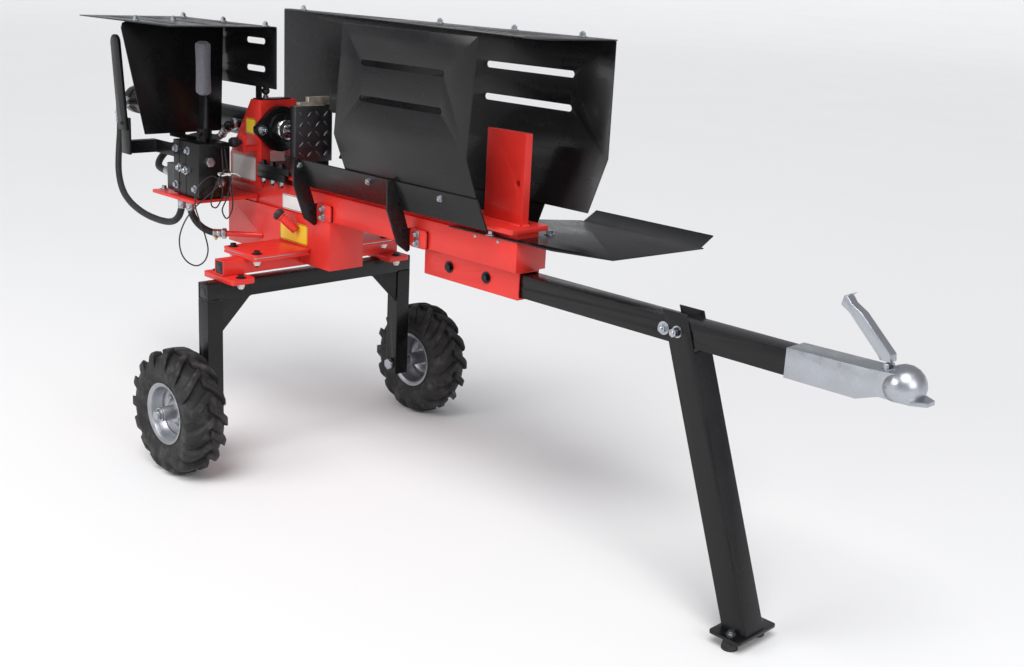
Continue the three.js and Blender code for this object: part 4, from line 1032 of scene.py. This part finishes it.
def make_filler():
    """Ribbed cap and a collar on the filler neck."""
    axis = Vector((-22, -18, 24)).normalized()
    base = at(-14, -92, 664) + axis * 0.0013
    build = bmesh.new()
    turned(build, [(12.5, 0), (15.8, 0.5), (16, 11), (14.8, 13.5), (12, 14),
                   (11.5, 16.5), (7, 17.8)], base, axis, 40)
    side = axis.orthogonal().normalized()
    other = axis.cross(side)
    for a in angles(18):
        spot = base + (side * cos(a) + other * sin(a)) * 0.0158
        turned(build, [(0.8, 1), (1.1, 2), (1.1, 10), (0.6, 11.5)], spot, axis, 8)
    piece("filler_cap_ribbed", build, PLASTIC, "filler_cap", replaces="filler_cap")
    collar = bmesh.new()
    turned(collar, [(12.8, -6), (15, -6), (15.2, -1.2), (12.8, -0.8)], base, axis, 32, closed=True)
    piece("filler_neck_collar", collar, RED)


def make_cable_tie():
    """White tie round the bundle of cable under the clip, with its head and cut tail."""
    build = bmesh.new()
    centre = at(-151, -182, 768)
    loops = []
    for a in angles(28):
        p = centre + Vector((0.012 * cos(a), 0.0215 * sin(a), 0.002 * sin(2 * a)))
        out, up = (p - centre).normalized() * 0.0006, Vector((0, 0, 0.0019))
        loops.append([p + out + up, p - out + up, p - out - up, p + out - up])
    rings(build, loops, wrap=True)
    head = centre + Vector((0.0125, 0.006, 0))
    prism(build, rounded(head.x - 0.004, head.x + 0.004, head.y - 0.004, head.y + 0.003, 0.001), "Z",
          head.z - 0.003, head.z + 0.003)
    tube(build, [head, head + Vector((0.006, 0.006, 0.003)), head + Vector((0.01, 0.016, 0.002)),
                 head + Vector((0.01, 0.028, -0.006))], 0.0011, 6, uv=False)
    piece("cable_tie", build, NYLON, "chassis", "black_plastic")


def make_mount_top():
    """Black tie plate on top of the cylinder mount, held by a stud with a ball knob."""
    plate = bmesh.new()
    low, high = at(-200, -42, 965.3), at(-162, 46, 968.3)
    prism(plate, rounded(low.x, high.x, low.y, high.y, 0.004), "Z", low.z, high.z)
    piece("mount_tie_plate", plate, BLACK, bevel=0.0008)
    base, knob = bmesh.new(), bmesh.new()
    spot = at(-181, -28, 968.4)
    bolt(base, spot, UP, 15, 6, thread=10)
    piece("mount_stud", base, ZINC, bevel=0.0003)
    ball = [(11.5 * sin(a), 20 - 11.5 * cos(a)) for a in (pi * k / 12 for k in range(2, 12))]
    turned(knob, [(4, 9), *ball, (2.2, 31.5)], spot, UP, 28)
    piece("mount_stud_knob", knob, PLASTIC)


def make_hose_clamp():
    """Brass worm-drive clamp where the return hose meets the tank pipe."""
    start = at(-242, -136, 580)
    axis = (at(-231, -125, 580) - start).normalized()
    build = bmesh.new()
    turned(build, [(10.2, -22), (11.8, -22), (11.8, -10), (10.2, -10)], start, axis, 32, closed=True)
    screw = start - axis * 0.016 + Vector((0, 0, -0.0135))
    turned(build, [(3.5, -9), (3.5, 8), (4.5, 8.5), (4.5, 12)], screw, axis.cross(UP), 16)
    piece("return_hose_clamp", build, BRASS, bevel=0.0003)


def make_stickers():
    """Plain stickers where the machine carries its plates: nothing is printed on them."""
    white, yellow = (0.78, 0.78, 0.76), (0.85, 0.6, 0.03)
    spots = (
        ("plate_sticker", white, at(-302, -60.8, 733), at(-184, -60.2, 802)),
        ("mount_sticker", yellow, at(-232, -60.8, 866), at(-184, -60.2, 910)),
        ("beam_sticker", white, at(-66, -50.8, 676), at(33, -50.2, 718)),
        ("tank_sticker", yellow, at(-66, -57.8, 590), at(62, -57.2, 646)),
    )
    for name, color, low, high in spots:
        build = bmesh.new()
        prism(build, rounded(low.z, high.z, low.x, high.x, 0.003), "Y", low.y, high.y)
        piece(name, build, sticker(name, color, low, high))


# ---- parking leg foot ----
def make_foot_pads():
    bolts = bmesh.new()
    for label in ("near", "far"):
        low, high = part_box(f"leg_foot_{label}")
        centre = Vector(((low.x + high.x) / 2, (low.y + high.y) / 2, low.z))
        h = (high.z - low.z) / MM
        build = bmesh.new()
        turned(build, [(16.5, 0), (17.8, 1.5), (18, 4), (17, 5.5), (17.2, 9),
                       (16.3, 10.5), (15.2, h - 2), (14, h)], centre, UP, 40)
        piece(f"leg_foot_{label}_pad", build, RUBBER, "parking_leg", replaces=f"leg_foot_{label}")
        bolt(bolts, centre + UP * (h + 7.2) * MM, UP, height=7)
    piece("leg_foot_bolts", bolts, ZINC, "parking_leg")


# ---- dressing the CAD nodes ----
def dress_nodes():
    slots = {s["node"]: s["material_slot"] for s in frame["record"]["subparts"]}
    for name, obj in NODES.items():
        if obj.hide_render:
            continue
        bevel, material = LOOKS[slots[name]][:2]
        obj.data.materials.clear()
        obj.data.materials.append(material)
        soften(obj, bevel, weld=True)


# ---- stage ----
def lamp(name, kind, aim, power, place=(0, 0, 0)):
    """Adds a light at place that shines along aim, and returns its data."""
    data = bpy.data.lights.new(name, kind)
    data.energy = power
    made = add(name, data)
    made.location = place
    made.rotation_mode = "QUATERNION"
    made.rotation_quaternion = Vector(aim).to_track_quat("-Z", "Y")
    return data


FLAT_RADIUS, CURVE, RISE = 24, 10, 3.4  # where the floor starts to curve, over what width and how high


def make_stage():
    """Pale floor that is flat and then curves up into a low backdrop all round, with soft studio light."""
    floor = bmesh.new()
    profile = [(0.5, 0), (6, 0), (FLAT_RADIUS, 0)]
    for k in range(1, 13):
        a = pi / 2 * k / 12
        profile.append((FLAT_RADIUS + CURVE * sin(a), RISE * (1 - cos(a))))
    rings(floor, [[(r * cos(a), r * sin(a), z) for a in angles(96)] for r, z in profile], cap_end=False)
    pale = Finish("pale_floor", (0.86, 0.86, 0.86), 0.75, specular=0.2)
    pale.paint(pale.mix(pale.noise(0.8), (0.85, 0.85, 0.85), (0.88, 0.88, 0.88)))
    meshed("floor", floor, pale.material)
    world = bpy.data.worlds.new("studio")
    SCENE.world = world
    world.use_nodes = True
    sky = world.node_tree.nodes["Background"]
    sky.inputs["Color"].default_value = (0.95, 0.96, 1.0, 1)
    sky.inputs["Strength"].default_value = 0.42
    lamp("sun", "SUN", (-0.45, 0.75, -1.5), 1.9).angle = radians(35)
    for name, place, target, size, power in (
            ("key", (-1.0, -3.8, 2.6), (0, 0, 0.6), (2.4, 1.8), 62),
            ("front", (4.4, -1.0, 2.2), (0.4, 0, 0.6), (2.0, 2.0), 42)):
        data = lamp(name, "AREA", Vector(target) - Vector(place), power, place)
        data.shape = "RECTANGLE"
        data.size, data.size_y = size
    SCENE.view_settings.view_transform = "Standard"


make_camera()
make_cords()
make_hose_ends()
make_wheels()
make_flanges()
make_end_plugs()
make_brackets()
make_fasteners()
make_welds()
make_pusher_details()
make_cylinder_details()
make_valve_details()
make_grip()
make_knob()
make_filler()
make_cable_tie()
make_mount_top()
make_hose_clamp()
make_stickers()
make_foot_pads()
dress_nodes()
make_stage()
